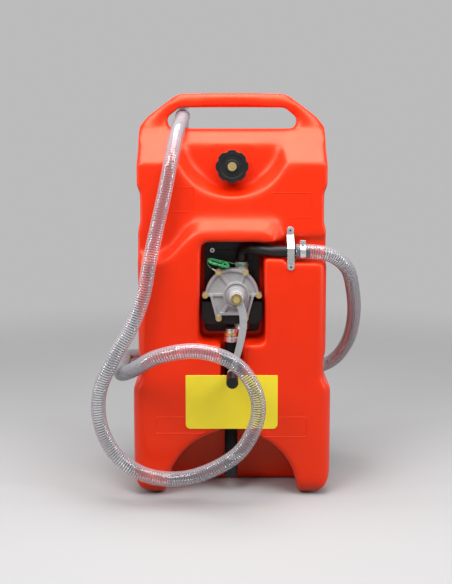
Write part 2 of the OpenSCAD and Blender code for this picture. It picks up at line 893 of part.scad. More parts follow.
module crank_knob() {
    color(black)
        difference() {
            translate([knob_x, at(knob_back), knob_z])
                rotate([90, 0, 0])
                    rotate_extrude()
                        polygon(rounded([
                            [0, 0, 0],
                            [knob_radius - 1.5, 0, 1.5],
                            [knob_radius, knob_length / 3, 30],
                            [knob_radius, knob_length, 2],
                            [0, knob_length, 0]
                        ], 3));
            bar_y(knob_x, knob_z, knob_face + 3.5, knob_back + 1, spindle_radius + running);
            bar_y(knob_x, knob_z, clip_face - slip, clip_face + clip_width + slip, clip_radius + slip);
        }
}

// Outlet pipe from the pump's neck round to the right, and the strap that holds it
pipe_bend_end = 100;
pipe_end = 165;
bead_gap = 0.5;
bead_width = 3;
bead_start = strap_x + strap_width / 2 + bead_gap;
bead_x = [bead_start, bead_start + bead_width];
bead_radius = 15;
function bezier(a, b, c, d, t) =
    pow(1 - t, 3) * a + 3 * t * pow(1 - t, 2) * b + 3 * t * t * (1 - t) * c + pow(t, 3) * d;
module outlet_pipe() {
    rise = 7;
    bend_pull = 40;
    steps = 10;
    foot = [port_offset, at(port_setback), outlet_top];
    from = foot + [0, 0, rise];
    to = [pipe_bend_end, at(pipe_setback), pipe_line];
    path = concat(
        [foot],
        [for (k = [0:steps])
            bezier(from, from + [0, 0, bend_pull], to - [bend_pull, 0, 0], to, k / steps)],
        [[pipe_end, at(pipe_setback), pipe_line]]
    );
    color(black) {
        hollow_tube(path, pipe_radius, pipe_radius - pipe_wall, 20, [0, -1, 0]);
        difference() {
            bar_x(bead_x[0], bead_x[1], at(pipe_setback), pipe_line, bead_radius);
            bar_x(bead_x[0] - 1, bead_x[1] + 1, at(pipe_setback), pipe_line, pipe_radius - pipe_wall / 2);
        }
    }
}
strap_thickness = 2;
module pipe_strap() {
    t = strap_thickness;
    low = strap_screw_z[0] - strap_width / 2;
    high = strap_screw_z[1] + strap_width / 2;
    knee = pipe_line + 7;
    half = strap_width / 2;
    color(steel)
        difference() {
            intersection() {
                along_x(strap_x - half, strap_x + half)
                    polygon([for (p = [
                        [-t, low], [-t, knee + 1],
                        [chest_step - t, knee + chest_step - 1], [chest_step - t, high],
                        [chest_step, high], [chest_step, knee + chest_step - 2],
                        [0, knee], [0, low]
                    ]) [at(p[0]), p[1]]]);
                along_y(at(-front_reach), at(2 * chest_step))
                    polygon(rounded([
                        [strap_x - half, low, half - 1], [strap_x + half, low, half - 1],
                        [strap_x + half, high, half - 1], [strap_x - half, high, half - 1]
                    ]));
            }
            strap_screw_places()
                translate([0, 0, -strap_thickness - 1])
                    cylinder(r = screw_radius + slip, h = strap_thickness + 2);
        }
}
module strap_screws() {
    color(steel)
        strap_screw_places()
            translate([0, 0, -strap_thickness])
                pan_screw(screw_radius, screw_head, strap_thickness + screw_bite - 1);
}

// Worm-drive hose clamps, drawn around Z with the housing on +Y and the screw's head on +X
band_thickness = 1;
worm_radius = 3;
worm_rise = band_thickness + worm_radius + 0.6;
housing_length = 15;
housing_height = 8.5;
module clamp_band(r) {
    difference() {
        union() {
            cylinder(r = r + band_thickness, h = clamp_width, center = true);
            translate([-housing_length / 2, r - 3, -clamp_width / 2])
                cube([housing_length, housing_height + 3, clamp_width]);
        }
        cylinder(r = r, h = clamp_width + 2, center = true);
        translate([-housing_length, r + worm_rise, 0])
            rotate([0, 90, 0])
                cylinder(r = worm_radius + running, h = 2 * housing_length);
    }
}
module clamp_worm(r) {
    head_radius = 4.3;
    head_height = 5;
    slot_width = 1.2;
    length = housing_length + 3;
    translate([-length / 2, r + worm_rise, 0])
        rotate([0, 90, 0])
            difference() {
                union() {
                    cylinder(r = worm_radius, h = length);
                    translate([0, 0, length]) cylinder(r = head_radius, h = head_height, $fn = 6);
                }
                translate([-slot_width / 2, -head_radius, length + head_height - 2])
                    cube([slot_width, 2 * head_radius, 3]);
            }
}
hose_seat = hose_radius + 0.1;
suction_seat = suction_radius + seat;
module outlet_clamp_place() {
    translate([strap_x + 25.5, at(pipe_setback), pipe_line])
        rotate([90, 0, -90]) children();
}
module suction_clamp_places() {
    for (z = [union_bottom - 7, elbow_top + 14])
        translate([suction_x, at(suction_setback), z])
            rotate([0, 0, -90]) children();
}
module outlet_clamp() {
    color(steel) outlet_clamp_place() clamp_band(hose_seat);
}
module suction_clamps() {
    color(steel) suction_clamp_places() clamp_band(suction_seat);
}
module clamp_screws() {
    color(steel) {
        outlet_clamp_place() clamp_worm(hose_seat);
        suction_clamp_places() clamp_worm(suction_seat);
    }
}

// Suction line: inlet elbow under the pump, union nut, hose, and the elbow into the tank's sump
spigot_radius = suction_bore - 0.2;
spigot_bore = 7;
union_top = inlet_bottom - inlet_flange - 3;
union_bottom = union_top - 8;
elbow_top = elbow_z + 16;
module inlet_elbow() {
    foot = union_bottom - 28;
    color(steel)
        difference() {
            union() {
                translate([port_offset, at(port_setback), inlet_bottom - inlet_flange])
                    cylinder(r = flange_radius, h = inlet_flange);
                hull() {
                    translate([port_offset, at(port_setback), inlet_bottom - inlet_flange])
                        cylinder(r = port_radius - 1, h = 2, $fn = 32);
                    translate([suction_x, at(suction_setback), union_top])
                        cylinder(r = spigot_radius + 2, h = 7, $fn = 32);
                }
                translate([suction_x, at(suction_setback), foot])
                    cylinder(r = spigot_radius, h = union_top - foot + 1);
            }
            translate([port_offset, at(port_setback), inlet_bottom - inlet_flange + 1])
                cylinder(r = port_radius - 5, h = inlet_flange);
            hull() {
                translate([port_offset, at(port_setback), inlet_bottom - inlet_flange + 1])
                    cylinder(r = spigot_bore, h = 1, $fn = 32);
                translate([suction_x, at(suction_setback), union_top + 1])
                    cylinder(r = spigot_bore - 1, h = 2, $fn = 32);
            }
            translate([suction_x, at(suction_setback), foot - 1])
                cylinder(r = spigot_bore, h = union_top - foot + 3);
        }
}
module union_nut() {
    color(zinc_gold)
        translate([suction_x, at(suction_setback), union_bottom])
            difference() {
                cylinder(r = suction_radius + 1, h = union_top - union_bottom);
                translate([0, 0, -1])
                    cylinder(r = spigot_radius + seat, h = union_top - union_bottom + 2);
            }
}
module suction_hose() {
    color(rubber)
        translate([suction_x, at(suction_setback), elbow_top])
            difference() {
                cylinder(r = suction_radius, h = union_bottom - elbow_top);
                translate([0, 0, -1]) cylinder(r = suction_bore, h = union_bottom - elbow_top + 2);
            }
}
seal_thickness = 2;
elbow_flange = [arch_depth - seal_thickness - 4, arch_depth - seal_thickness];
elbow_collar = elbow_radius + 8;
module tank_elbow() {
    barb_top = elbow_top + 40;
    body_radius_below = suction_radius + 1;
    inner_end = arch_depth + wall + 10;
    color(black)
        difference() {
            union() {
                translate([suction_x, at(suction_setback), elbow_z - elbow_radius - 2])
                    cylinder(r = body_radius_below, h = elbow_top - elbow_z + elbow_radius + 2);
                translate([suction_x, at(suction_setback), elbow_z])
                    cylinder(r = spigot_radius, h = barb_top - elbow_z);
                bar_y(suction_x, elbow_z, suction_setback, inner_end, elbow_radius);
                bar_y(suction_x, elbow_z, elbow_flange[0], elbow_flange[1], elbow_collar);
            }
            translate([suction_x, at(suction_setback), elbow_z])
                cylinder(r = spigot_bore, h = barb_top);
            bar_y(suction_x, elbow_z, suction_setback, inner_end + 1, spigot_bore + 1);
        }
}
module elbow_seal() {
    color(rubber)
        difference() {
            bar_y(suction_x, elbow_z, elbow_flange[1], arch_depth, elbow_collar - 1);
            bar_y(suction_x, elbow_z, 0, tank_depth, elbow_radius + seat);
        }
}
module bulkhead_nut() {
    nut_thickness = 8;
    face = arch_depth + wall;
    color(black)
        difference() {
            bar_y(suction_x, elbow_z, face, face + nut_thickness, elbow_collar, $fn = 6);
            bar_y(suction_x, elbow_z, 0, tank_depth, elbow_radius + running);
        }
}

// Delivery hose: its first two points follow the outlet pipe, the rest lies as it is put away
hose_start = bead_x[1];
hose_route = concat(
    [
        [hose_start, at(pipe_setback), pipe_line],
        [hose_start + 2 * hose_radius, at(pipe_setback), pipe_line]
    ],
    [
        [207, -85, 526], [243, -70, 499], [266, -17, 438], [277, 50, 362], [270, 112, 292], [241, 166, 236],
        [190, 196, 208], [110, 198, 200], [-20, 198, 208], [-140, 198, 226], [-212, 190, 243],
        [-247, 126, 256], [-246, 44, 262], [-243, -41, 266], [-234, -107, 274], [-205, -167, 297],
        [-150, -205, 334],
        [-70, -211, 347], [5, -211, 321], [47, -208, 262], [51, -200, 205], [18, -190, 134], [-45, -179, 88],
        [-110, -168, 66], [-180, -160, 71], [-240, -155, 109], [-274, -152, 172], [-277, -151, 243],
        [-248, -148, 315], [-211, -138, 378], [-187, -126, 440], [-174, -118, 508], [-157, -104, 588],
        [-141, -97, 660], [-128, -86, 728], [-118, -42, 783], [-110, 12, 811], [-110, 78, 824]
    ]
);
module delivery_hose() {
    color(clear) hollow_tube(hose_route, hose_radius, hose_radius - hose_wall, 12, [0, 1, 0]);
}

// Bent spout in the free end of the hose
hose_end = hose_route[len(hose_route) - 1];
hose_rise = asin(unit(hose_end - hose_route[len(hose_route) - 2])[2]);
function along_end(distance) = hose_end + distance * [0, cos(hose_rise), sin(hose_rise)];
module spout() {
    insert = 28;
    spout_wall = 1.5;
    bead = 3;
    lead = 10;
    bend_radius = 45;
    bend = 58;
    tip = 45;
    steps = 8;
    centre = along_end(lead) + bend_radius * [0, sin(hose_rise), -cos(hose_rise)];
    function around(a) = centre + bend_radius * [0, -sin(a), cos(a)];
    last = hose_rise - bend;
    path = concat(
        [along_end(-insert)],
        [for (k = [0:steps]) around(hose_rise - bend * k / steps)],
        [around(last) + tip * [0, cos(last), sin(last)]]
    );
    color(steel) {
        hollow_tube(path, spout_radius, spout_radius - spout_wall, 16, [1, 0, 0]);
        translate(along_end(0))
            rotate([hose_rise - 90, 0, 0])
                difference() {
                    cylinder(r = hose_radius, h = bead);
                    translate([0, 0, -1]) cylinder(r = spout_radius - spout_wall / 2, h = bead + 2);
                }
    }
}
module spout_clamp_place() {
    translate(along_end(-16))
        rotate([hose_rise - 90, 0, 0])
            mirror([0, 1, 0]) children();
}
module spout_clamp() {
    color(steel) spout_clamp_place() clamp_band(hose_seat);
}
module spout_clamp_screw() {
    color(steel) spout_clamp_place() clamp_worm(hose_seat);
}

// Earth wire: from a terminal under the upper left cover bolt into a two-layer hank, then once round the neck
wire_radius = 0.9;
loop_rings = 24;
hank_turns = 5;
hank_pitch = 2.3;
hank_run = 27;
hank_fold = 5.5;
hank_tilt = 15;
hank_place = [-29, 29, 506];
fold_share = 0.35;
turn_over = (hank_turns - 1) / 2 + fold_share;
layer_change = 0.5 - fold_share;
function stadium(r, t) =
    let (u = t - floor(t), half = hank_run / 2, v = u < 0.5 ? u : u - 0.5, side = u < 0.5 ? 1 : -1)
    v < fold_share
        ? side * [half + r * cos(90 - 180 * v / fold_share), r * sin(90 - 180 * v / fold_share)]
        : side * [half - hank_run * (v - fold_share) / layer_change, -r];
function hank_radius(t) = hank_fold + hank_pitch * max(turn_over - t, 0, t - turn_over - layer_change);
function hank_layer(t) = max(0, min(1, (t - turn_over) / layer_change)) - 0.5;
function hank_point(t) =
    let (p = stadium(hank_radius(t), t))
    [
        hank_place[0] + p[0] * cos(hank_tilt) + p[1] * sin(hank_tilt),
        at(hank_place[1] - hank_pitch * hank_layer(t)),
        hank_place[2] - p[0] * sin(hank_tilt) + p[1] * cos(hank_tilt)
    ];
terminal_bolt = bolt_circle * [cos(120), sin(120)] + [0, pump_height];
terminal_turn = 150;
terminal_reach = 16;
terminal_sheet = 1;
wire_start = terminal_bolt + terminal_reach * [cos(terminal_turn), sin(terminal_turn)];
wire_coil = port_radius + wire_radius + 0.5;
coil_rings = 16;
coil_rise = 3;
wire_route = concat(
    [for (p = [
        [wire_start[0], rim_face + terminal_sheet / 2, wire_start[1]],
        [-47, 33.5, 495.5], [-54, 33.5, 501], [-58.5, 33, 508], [-59, 32.5, 516], [-54, 31.5, 522.5],
        [-46, 30.6, 523.5], [-37, 30.2, 520.8], [-26, 30.2, 517.6]
    ]) [p[0], at(p[1]), p[2]]],
    [for (k = [0:hank_turns * loop_rings]) hank_point(k / loop_rings)],
    [for (p = [[-5, 27.8, 510.8], [3, 29.5, 508], [9, 35, 504], [13.5, 41, 500.5]]) [p[0], at(p[1]), p[2]]],
    [for (k = [0:coil_rings])
        let (a = -100 + 370 * k / coil_rings)
        [port_offset + wire_coil * cos(a), at(port_setback) + wire_coil * sin(a),
         outlet_top - 7 + coil_rise * k / coil_rings]]
);

// Least gap of the wire to itself, between points that are more than half a loop apart
function segment_gap(p, a, b) =
    let (t = max(0, min(1, (p - a) * (b - a) / ((b - a) * (b - a)))))
    norm(p - a - t * (b - a));
wire_gap = min([
    for (i = [0:len(wire_route) - 1], j = [i + 8:len(wire_route) - 2])
        segment_gap(wire_route[i], wire_route[j], wire_route[j + 1])
]) - 2 * wire_radius;
echo(wire_gap = wire_gap);
module earth_wire() {
    color(wire_green) solid_tube(wire_route, wire_radius, 6, [0, 1, 0]);
}
module earth_terminal() {
    barrel = [boss_size + slip, terminal_reach];
    color(steel) {
        difference() {
            union() {
                bar_y(terminal_bolt[0], terminal_bolt[1], rim_face, rim_face + terminal_sheet,
                      terminal_radius);
                terminal_frame()
                    translate([0, 0, -2]) cube([barrel[0] + 2, terminal_sheet, 4]);
            }
            bar_y(terminal_bolt[0], terminal_bolt[1], 0, pocket_depth, bolt_radius + slip);
        }
        terminal_frame()
            translate([barrel[0], terminal_sheet / 2, 0])
                rotate([0, 90, 0])
                    cylinder(r = 2 * wire_radius, h = barrel[1] - barrel[0]);
    }
}
terminal_radius = 6.4;
module terminal_frame() {
    translate([terminal_bolt[0], at(rim_face), terminal_bolt[1]])
        rotate([0, -terminal_turn, 0]) children();
}
module wire_tie() {
    tie_width = 3;
    tie_thickness = 1;
    low = hank_radius(0) + wire_radius + 0.4;
    high = low + 2.6;
    deep = hank_pitch / 2 + wire_radius + 0.3;
    color(black)
        translate([hank_place[0], at(hank_place[1]), hank_place[2]])
            rotate([0, hank_tilt, 0])
                along_x(-tie_width / 2, tie_width / 2)
                    difference() {
                        polygon(rounded([
                            [-deep - tie_thickness, -low - tie_thickness, 2],
                            [deep + tie_thickness, -low - tie_thickness, 2],
                            [deep + tie_thickness, high + tie_thickness, 2],
                            [-deep - tie_thickness, high + tie_thickness, 2]
                        ]));
                        polygon([[-deep, -low], [deep, -low], [deep, high], [-deep, high]]);
                    }
}

// Running gear under the rear: a fixed axle in two brackets, with a free wheel on each end
axle_y = at(axle_setback);
wheel_outer = wheel_x + wheel_width;
axle_end = wheel_outer + 3;
module axle() {
    collar = 4;
    color(steel) {
        bar_x(-axle_end, axle_end, axle_y, wheel_radius, axle_radius);
        for (x = [-wheel_x + slip, wheel_x - slip - collar])
            bar_x(x, x + collar, axle_y, wheel_radius, axle_radius + 3);
    }
}
module axle_brackets() {
    web = 12;
    eye = axle_radius + 9;
    color(black)
        for (x = [-bracket_x, bracket_x])
            difference() {
                union() {
                    translate([x - bracket_width / 2, axle_y - bracket_length / 2, rear_step - bracket_foot])
                        cube([bracket_width, bracket_length, bracket_foot]);
                    translate([x - web / 2, axle_y - eye, wheel_radius])
                        cube([web, 2 * eye, rear_step - bracket_foot - wheel_radius + 1]);
                    bar_x(x - web / 2, x + web / 2, axle_y, wheel_radius, eye);
                }
                bar_x(x - web, x + web, axle_y, wheel_radius, axle_radius + seat);
                for (y = bracket_screw_y)
                    translate([x, axle_y + y, rear_step - bracket_foot - 1])
                        cylinder(r = screw_radius + slip, h = bracket_foot + 2);
            }
}
module bracket_screws() {
    color(steel)
        bracket_screw_places()
            translate([0, 0, -bracket_foot])
                pan_screw(screw_radius, screw_head, bracket_foot + screw_bite - 1);
}
rim_radius = 50;
module wheel_frame(side) {
    mirror([side < 0 ? 1 : 0, 0, 0])
        translate([wheel_x, axle_y, wheel_radius])
            rotate([0, 90, 0]) children();
}
module wheel_rim(side) {
    hub = 14;
    ring = 6;
    web = [12, 20];
    holes = 5;
    hole_radius = 8;
    color(black)
        wheel_frame(side)
            difference() {
                rotate_extrude()
                    polygon([
                        [axle_radius + running, 0], [hub, 0], [hub, web[0]], [rim_radius - ring, web[0]],
                        [rim_radius - ring, 2], [rim_radius - seat, 2], [rim_radius - seat, wheel_width - 2],
                        [rim_radius - ring, wheel_width - 2], [rim_radius - ring, web[1]], [hub, web[1]],
                        [hub, wheel_width], [axle_radius + running, wheel_width]
                    ]);
                for (k = [0:holes - 1])
                    rotate(360 * k / holes)
                        translate([(hub + rim_radius - ring) / 2, 0, 0])
                            cylinder(r = hole_radius, h = wheel_width);
            }
}
module wheel_tyre(side) {
    shoulder = 9;
    color(rubber)
        wheel_frame(side)
            rotate_extrude()
                polygon(rounded([
                    [rim_radius, 2, 0], [wheel_radius, 0, shoulder],
                    [wheel_radius, wheel_width, shoulder], [rim_radius, wheel_width - 2, 0]
                ], 4));
}
module axle_caps() {
    cap = axle_radius + 4;
    color(steel)
        for (side = [0, 1])
            mirror([side, 0, 0])
                difference() {
                    bar_x(wheel_outer + slip, axle_end + 2, axle_y, wheel_radius, cap);
                    bar_x(wheel_outer, axle_end, axle_y, wheel_radius, axle_radius + seat);
                }
}
module wheel_left_rim() {
    wheel_rim(-1);
}
module wheel_right_rim() {
    wheel_rim(1);
}
module wheel_left_tyre() {
    wheel_tyre(-1);
}
module wheel_right_tyre() {
    wheel_tyre(1);
}

tank();
filler_cap();
cap_gasket();
cap_vent();
mount_plate();
plate_screws();
pump_cradle();
pump_body();
cover_gasket();
pump_cover();
cover_bolts();
rotor();
rotor_vanes();
pump_shaft();
shaft_packing();
gland_nut();
crank_arm();
crank_washer();
crank_bolt();
knob_spindle();
knob_clip();
crank_knob();
outlet_pipe();
pipe_strap();
strap_screws();
outlet_clamp();
inlet_elbow();
union_nut();
suction_hose();
suction_clamps();
tank_elbow();
elbow_seal();
bulkhead_nut();
clamp_screws();
delivery_hose();
spout();
spout_clamp();
spout_clamp_screw();
earth_wire();
earth_terminal();
wire_tie();
axle();
axle_brackets();
bracket_screws();
wheel_left_rim();
wheel_left_tyre();
wheel_right_rim();
wheel_right_tyre();
axle_caps();
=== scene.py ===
"""Looks of a wheeled fuel tank with a hand pump. Metres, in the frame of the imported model."""

import json
import math

import bmesh
import bpy
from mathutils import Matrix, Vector


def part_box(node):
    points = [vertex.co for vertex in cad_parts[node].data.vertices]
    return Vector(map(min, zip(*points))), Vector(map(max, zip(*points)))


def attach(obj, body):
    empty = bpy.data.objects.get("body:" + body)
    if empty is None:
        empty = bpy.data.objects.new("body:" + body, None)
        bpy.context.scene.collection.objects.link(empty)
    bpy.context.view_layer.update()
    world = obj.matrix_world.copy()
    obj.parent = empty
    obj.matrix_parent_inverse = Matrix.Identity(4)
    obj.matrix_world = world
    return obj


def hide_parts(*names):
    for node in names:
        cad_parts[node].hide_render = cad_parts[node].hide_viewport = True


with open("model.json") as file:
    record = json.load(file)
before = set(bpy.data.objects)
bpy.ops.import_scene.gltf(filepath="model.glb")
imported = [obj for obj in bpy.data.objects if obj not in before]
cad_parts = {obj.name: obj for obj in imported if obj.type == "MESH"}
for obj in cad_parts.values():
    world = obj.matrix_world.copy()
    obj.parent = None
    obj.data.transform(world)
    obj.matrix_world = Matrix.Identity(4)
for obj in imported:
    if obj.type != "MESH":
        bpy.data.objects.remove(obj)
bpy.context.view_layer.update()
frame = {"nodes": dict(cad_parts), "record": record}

# Places and sizes that the source of the part gives
FRONT = -0.097
FILLER = Vector((0.0, FRONT, 0.712))
PIPE_Y = FRONT + 0.0126
PIPE_Z = 0.533
PIPE_RADIUS = 0.0123
PIPE_WALL = 0.003
HOSE_RADIUS = 0.0155
HOSE_BORE = 0.0127
WIRE_RADIUS = 0.0009
SUCTION_X = -0.002
AXLE_Y = 0.110
AXLE_Z = 0.075


def at(setback):
    """The y of a setback behind the front of the chest."""
    return FRONT + setback


def new_object(name, data):
    """A new object in the scene."""
    made = bpy.data.objects.new(name, data)
    bpy.context.scene.collection.objects.link(made)
    return made


# Camera that sees the object as the photograph does
SENSOR_WIDTH = 36.0
LENS = 58.96
LENS_SHIFT = -0.102
CAMERA_PLACE = (-0.013, FRONT - 2.0, 0.7851)
CAMERA_PITCH = math.radians(84.0)


def make_camera():
    data = bpy.data.cameras.new("camera")
    data.sensor_width = SENSOR_WIDTH
    data.lens = LENS
    data.shift_y = LENS_SHIFT
    camera = new_object("camera", data)
    camera.location = CAMERA_PLACE
    camera.rotation_euler = (CAMERA_PITCH, 0.0, 0.0)
    bpy.context.scene.camera = camera


# Shader building blocks
NOISE_LOW = 0.3
NOISE_MIDDLE = 0.5
NOISE_HIGH = 0.7


def mapped(tree, value, source, target, interpolation="LINEAR"):
    """A value taken from the source span to the target span, and held at the ends."""
    node = tree.nodes.new("ShaderNodeMapRange")
    node.interpolation_type = interpolation
    for name, setting in zip(("From Min", "From Max", "To Min", "To Max"), (*source, *target)):
        node.inputs[name].default_value = setting
    tree.links.new(value, node.inputs["Value"])
    return node.outputs["Result"]


def shades(colour, low, high):
    """Three stops around a colour for a noise ramp."""
    darker = tuple(c * low for c in colour)
    lighter = tuple(min(1.0, c * high) for c in colour)
    return [(NOISE_LOW, darker), (NOISE_MIDDLE, colour), (NOISE_HIGH, lighter)]


class Shader:
    """A principled material with noise in object space; a noise's scale counts cells per metre."""

    def __init__(self, name, roughness, metallic=0.0):
        self.material = bpy.data.materials.new(name)
        self.material.use_nodes = True
        self.tree = self.material.node_tree
        self.surface = self.tree.nodes["Principled BSDF"].inputs
        self.place = self.tree.nodes.new("ShaderNodeTexCoord").outputs["Object"]
        self.set("Roughness", roughness)
        self.set("Metallic", metallic)

    def set(self, name, value):
        """Gives an input of the surface a fixed value."""
        self.surface[name].default_value = value

    def feed(self, name, output):
        """Links an output to an input of the surface."""
        self.tree.links.new(output, self.surface[name])

    def noise(self, scale, detail, stretch=None):
        node = self.tree.nodes.new("ShaderNodeTexNoise")
        node.inputs["Scale"].default_value = scale
        node.inputs["Detail"].default_value = detail
        source = self.place
        if stretch:
            mapping = self.tree.nodes.new("ShaderNodeMapping")
            mapping.inputs["Scale"].default_value = stretch
            self.tree.links.new(self.place, mapping.inputs["Vector"])
            source = mapping.outputs["Vector"]
        self.tree.links.new(source, node.inputs["Vector"])
        return node.outputs["Fac"]

    def ramp(self, value, stops):
        """Colours along a value: stops are (position, linear rgb)."""
        node = self.tree.nodes.new("ShaderNodeValToRGB")
        band = node.color_ramp
        while len(band.elements) < len(stops):
            band.elements.new(NOISE_MIDDLE)
        for element, (position, colour) in zip(band.elements, stops):
            element.position = position
            element.color = (*colour, 1.0)
        self.tree.links.new(value, node.inputs["Fac"])
        return node.outputs["Color"]

    def tone(self, scale, stops, detail=4.0):
        """Colours the surface by noise."""
        self.feed("Base Color", self.ramp(self.noise(scale, detail), stops))

    def gloss(self, scale, low, high, detail=4.0, stretch=None):
        """Lets the roughness wander from low to high by noise."""
        noise = self.noise(scale, detail, stretch)
        self.feed("Roughness", mapped(self.tree, noise, (NOISE_LOW, NOISE_HIGH), (low, high)))

    def relief(self, scale, height, strength, detail=4.0):
        """Fine relief by noise, of the given height in metres."""
        node = self.tree.nodes.new("ShaderNodeBump")
        node.inputs["Strength"].default_value = strength
        node.inputs["Distance"].default_value = height
        self.tree.links.new(self.noise(scale, detail), node.inputs["Height"])
        self.feed("Normal", node.outputs["Normal"])


# Materials
def red_plastic():
    shader = Shader("red_plastic", roughness=0.4)
    shader.tone(scale=9.0, stops=shades((0.87, 0.022, 0.001), low=0.96, high=1.02))
    shader.gloss(scale=35.0, low=0.33, high=0.4)
    shader.relief(scale=420.0, height=0.00012, strength=0.45, detail=3.0)
    shader.set("Specular IOR Level", 0.6)
    shader.set("Specular Tint", (1.0, 0.82, 0.52, 1.0))
    return shader.material


def black_plastic():
    shader = Shader("black_plastic", roughness=0.45)
    shader.tone(scale=60.0, stops=shades((0.011, 0.011, 0.012), low=0.8, high=1.3))
    shader.gloss(scale=90.0, low=0.3, high=0.42)
    shader.relief(scale=1400.0, height=0.00006, strength=0.4)
    shader.set("Specular IOR Level", 0.3)
    return shader.material


def black_rubber():
    shader = Shader("black_rubber", roughness=0.6)
    shader.tone(scale=80.0, stops=shades((0.008, 0.008, 0.008), low=0.8, high=1.35))
    shader.gloss(scale=50.0, low=0.5, high=0.7)
    shader.relief(scale=700.0, height=0.00015, strength=0.5)
    shader.set("Specular IOR Level", 0.12)
    return shader.material


def tyre_rubber():
    shader = Shader("tyre_rubber", roughness=0.75)
    shader.tone(scale=45.0, stops=shades((0.02, 0.02, 0.019), low=0.75, high=1.5))
    shader.gloss(scale=120.0, low=0.65, high=0.85)
    shader.relief(scale=500.0, height=0.0003, strength=0.6)
    return shader.material


def cast_metal():
    shader = Shader("cast_metal", roughness=0.4, metallic=0.2)
    shader.tone(scale=70.0, stops=shades((0.42, 0.42, 0.43), low=0.93, high=1.07))
    shader.gloss(scale=160.0, low=0.34, high=0.46)
    shader.relief(scale=900.0, height=0.0001, strength=0.5)
    return shader.material


def machined_metal():
    shader = Shader("machined_metal", roughness=0.3, metallic=0.5)
    shader.tone(scale=50.0, stops=shades((0.74, 0.74, 0.75), low=0.96, high=1.03))
    shader.gloss(scale=120.0, low=0.26, high=0.36)
    return shader.material


# Painted shade: a near-black for discs that stand in for the shaded hollows of screw sockets
def painted_socket_shade():
    shader = Shader("painted_socket_shade", roughness=0.6)
    shader.tone(scale=300.0, stops=shades((0.01, 0.01, 0.01), low=0.8, high=1.2))
    return shader.material


def zinc_gold(name="zinc_gold", share=1.0):
    """Yellow zinc; a share below 1 darkens it, as painted shade."""
    shader = Shader(name, roughness=0.3, metallic=0.9)
    tones = [
        (NOISE_LOW, (0.66, 0.46, 0.18)),
        (NOISE_MIDDLE, (0.72, 0.53, 0.22)),
        (NOISE_HIGH, (0.70, 0.57, 0.3)),
    ]
    stops = [(position, tuple(share * c for c in colour)) for position, colour in tones]
    shader.tone(scale=120.0, stops=stops, detail=2.0)
    shader.gloss(scale=160.0, low=0.26, high=0.34, detail=2.0)
    return shader.material


def bright_steel():
    shader = Shader("bright_steel", roughness=0.3, metallic=0.95)
    shader.tone(scale=90.0, stops=shades((0.68, 0.68, 0.69), low=0.92, high=1.06))
    shader.gloss(scale=60.0, low=0.24, high=0.34, detail=2.0, stretch=(1.0, 1.0, 14.0))
    return shader.material


def clear_hose():
    """Glossy and nearly clear, and denser towards its outline."""
    shader = Shader("clear_hose", roughness=0.1)
    shader.tone(scale=25.0, stops=shades((0.95, 0.93, 1.0), low=0.98, high=1.02))
    shader.gloss(scale=60.0, low=0.08, high=0.14)
    outline = shader.tree.nodes.new("ShaderNodeLayerWeight")
    outline.inputs["Blend"].default_value = 0.5
    shader.feed("Alpha", mapped(shader.tree, outline.outputs["Facing"], (0.0, 1.0), (0.07, 0.5)))
    shader.set("Specular IOR Level", 1.0)
    shader.set("Coat Weight", 1.0)
    shader.set("Coat IOR", 2.6)
    shader.set("Coat Roughness", 0.06)
    return shader.material


def helix_steel():
    shader = Shader("helix_steel", roughness=0.35, metallic=0.3)
    shader.tone(scale=40.0, stops=shades((0.025, 0.022, 0.045), low=0.9, high=1.1))
    shader.gloss(scale=90.0, low=0.3, high=0.42)
    return shader.material


def green_wire():
    shader = Shader("green_wire", roughness=0.4)
    stops = [(0.35, (0.01, 0.2, 0.08)), (0.5, (0.025, 0.4, 0.14)), (0.66, (0.16, 0.6, 0.2))]
    shader.tone(scale=240.0, stops=stops)
    shader.gloss(scale=300.0, low=0.32, high=0.5)
    return shader.material


def yellow_plate():
    shader = Shader("yellow_plate", roughness=0.35)
    shader.tone(scale=30.0, stops=shades((0.95, 0.76, 0.03), low=0.98, high=1.02))
    shader.gloss(scale=60.0, low=0.3, high=0.42)
    shader.relief(scale=700.0, height=0.00004, strength=0.4)
    return shader.material


MATERIALS = {
    "red_plastic": red_plastic(),
    "black_plastic": black_plastic(),
    "black_rubber": black_rubber(),
    "tyre": tyre_rubber(),
    "cast_metal": cast_metal(),
    "zinc_gold": zinc_gold(),
    "steel": bright_steel(),
    "clear_hose": clear_hose(),
    "green_wire": green_wire(),
}
HELIX_STEEL = helix_steel()
YELLOW_PLATE = yellow_plate()
MACHINED_METAL = machined_metal()
# Painted shade: the yellow zinc at 55 %, so that the crank washer reads darker than the bolt's hex head
PAINTED_SHADE_GOLD = zinc_gold("painted_shade_gold", share=0.55)
# Painted shade for the hollows of the screw sockets
PAINTED_SOCKET_SHADE = painted_socket_shade()


# Mesh building blocks
CORNER_STEPS = 6
SMOOTH_FACTOR = 0.5
MESH_WELD = 1e-6


def add_piece(name, mesh, slot, body="cart", replaces=(), material=None):
    """A new piece that rides on a body, with the finish of a slot or with a material of its own."""
    mesh.name = name
    mesh.materials.clear()
    mesh.materials.append(material or MATERIALS[slot])
    piece = new_object(name, mesh)
    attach(piece, body)
    if replaces:
        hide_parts(*replaces)
    return piece


def mesh_from(points, faces, smooth=True):
    mesh = bpy.data.meshes.new("mesh")
    mesh.from_pydata([tuple(p) for p in points], [], faces)
    mesh.polygons.foreach_set("use_smooth", [smooth] * len(faces))
    mesh.update()
    return mesh


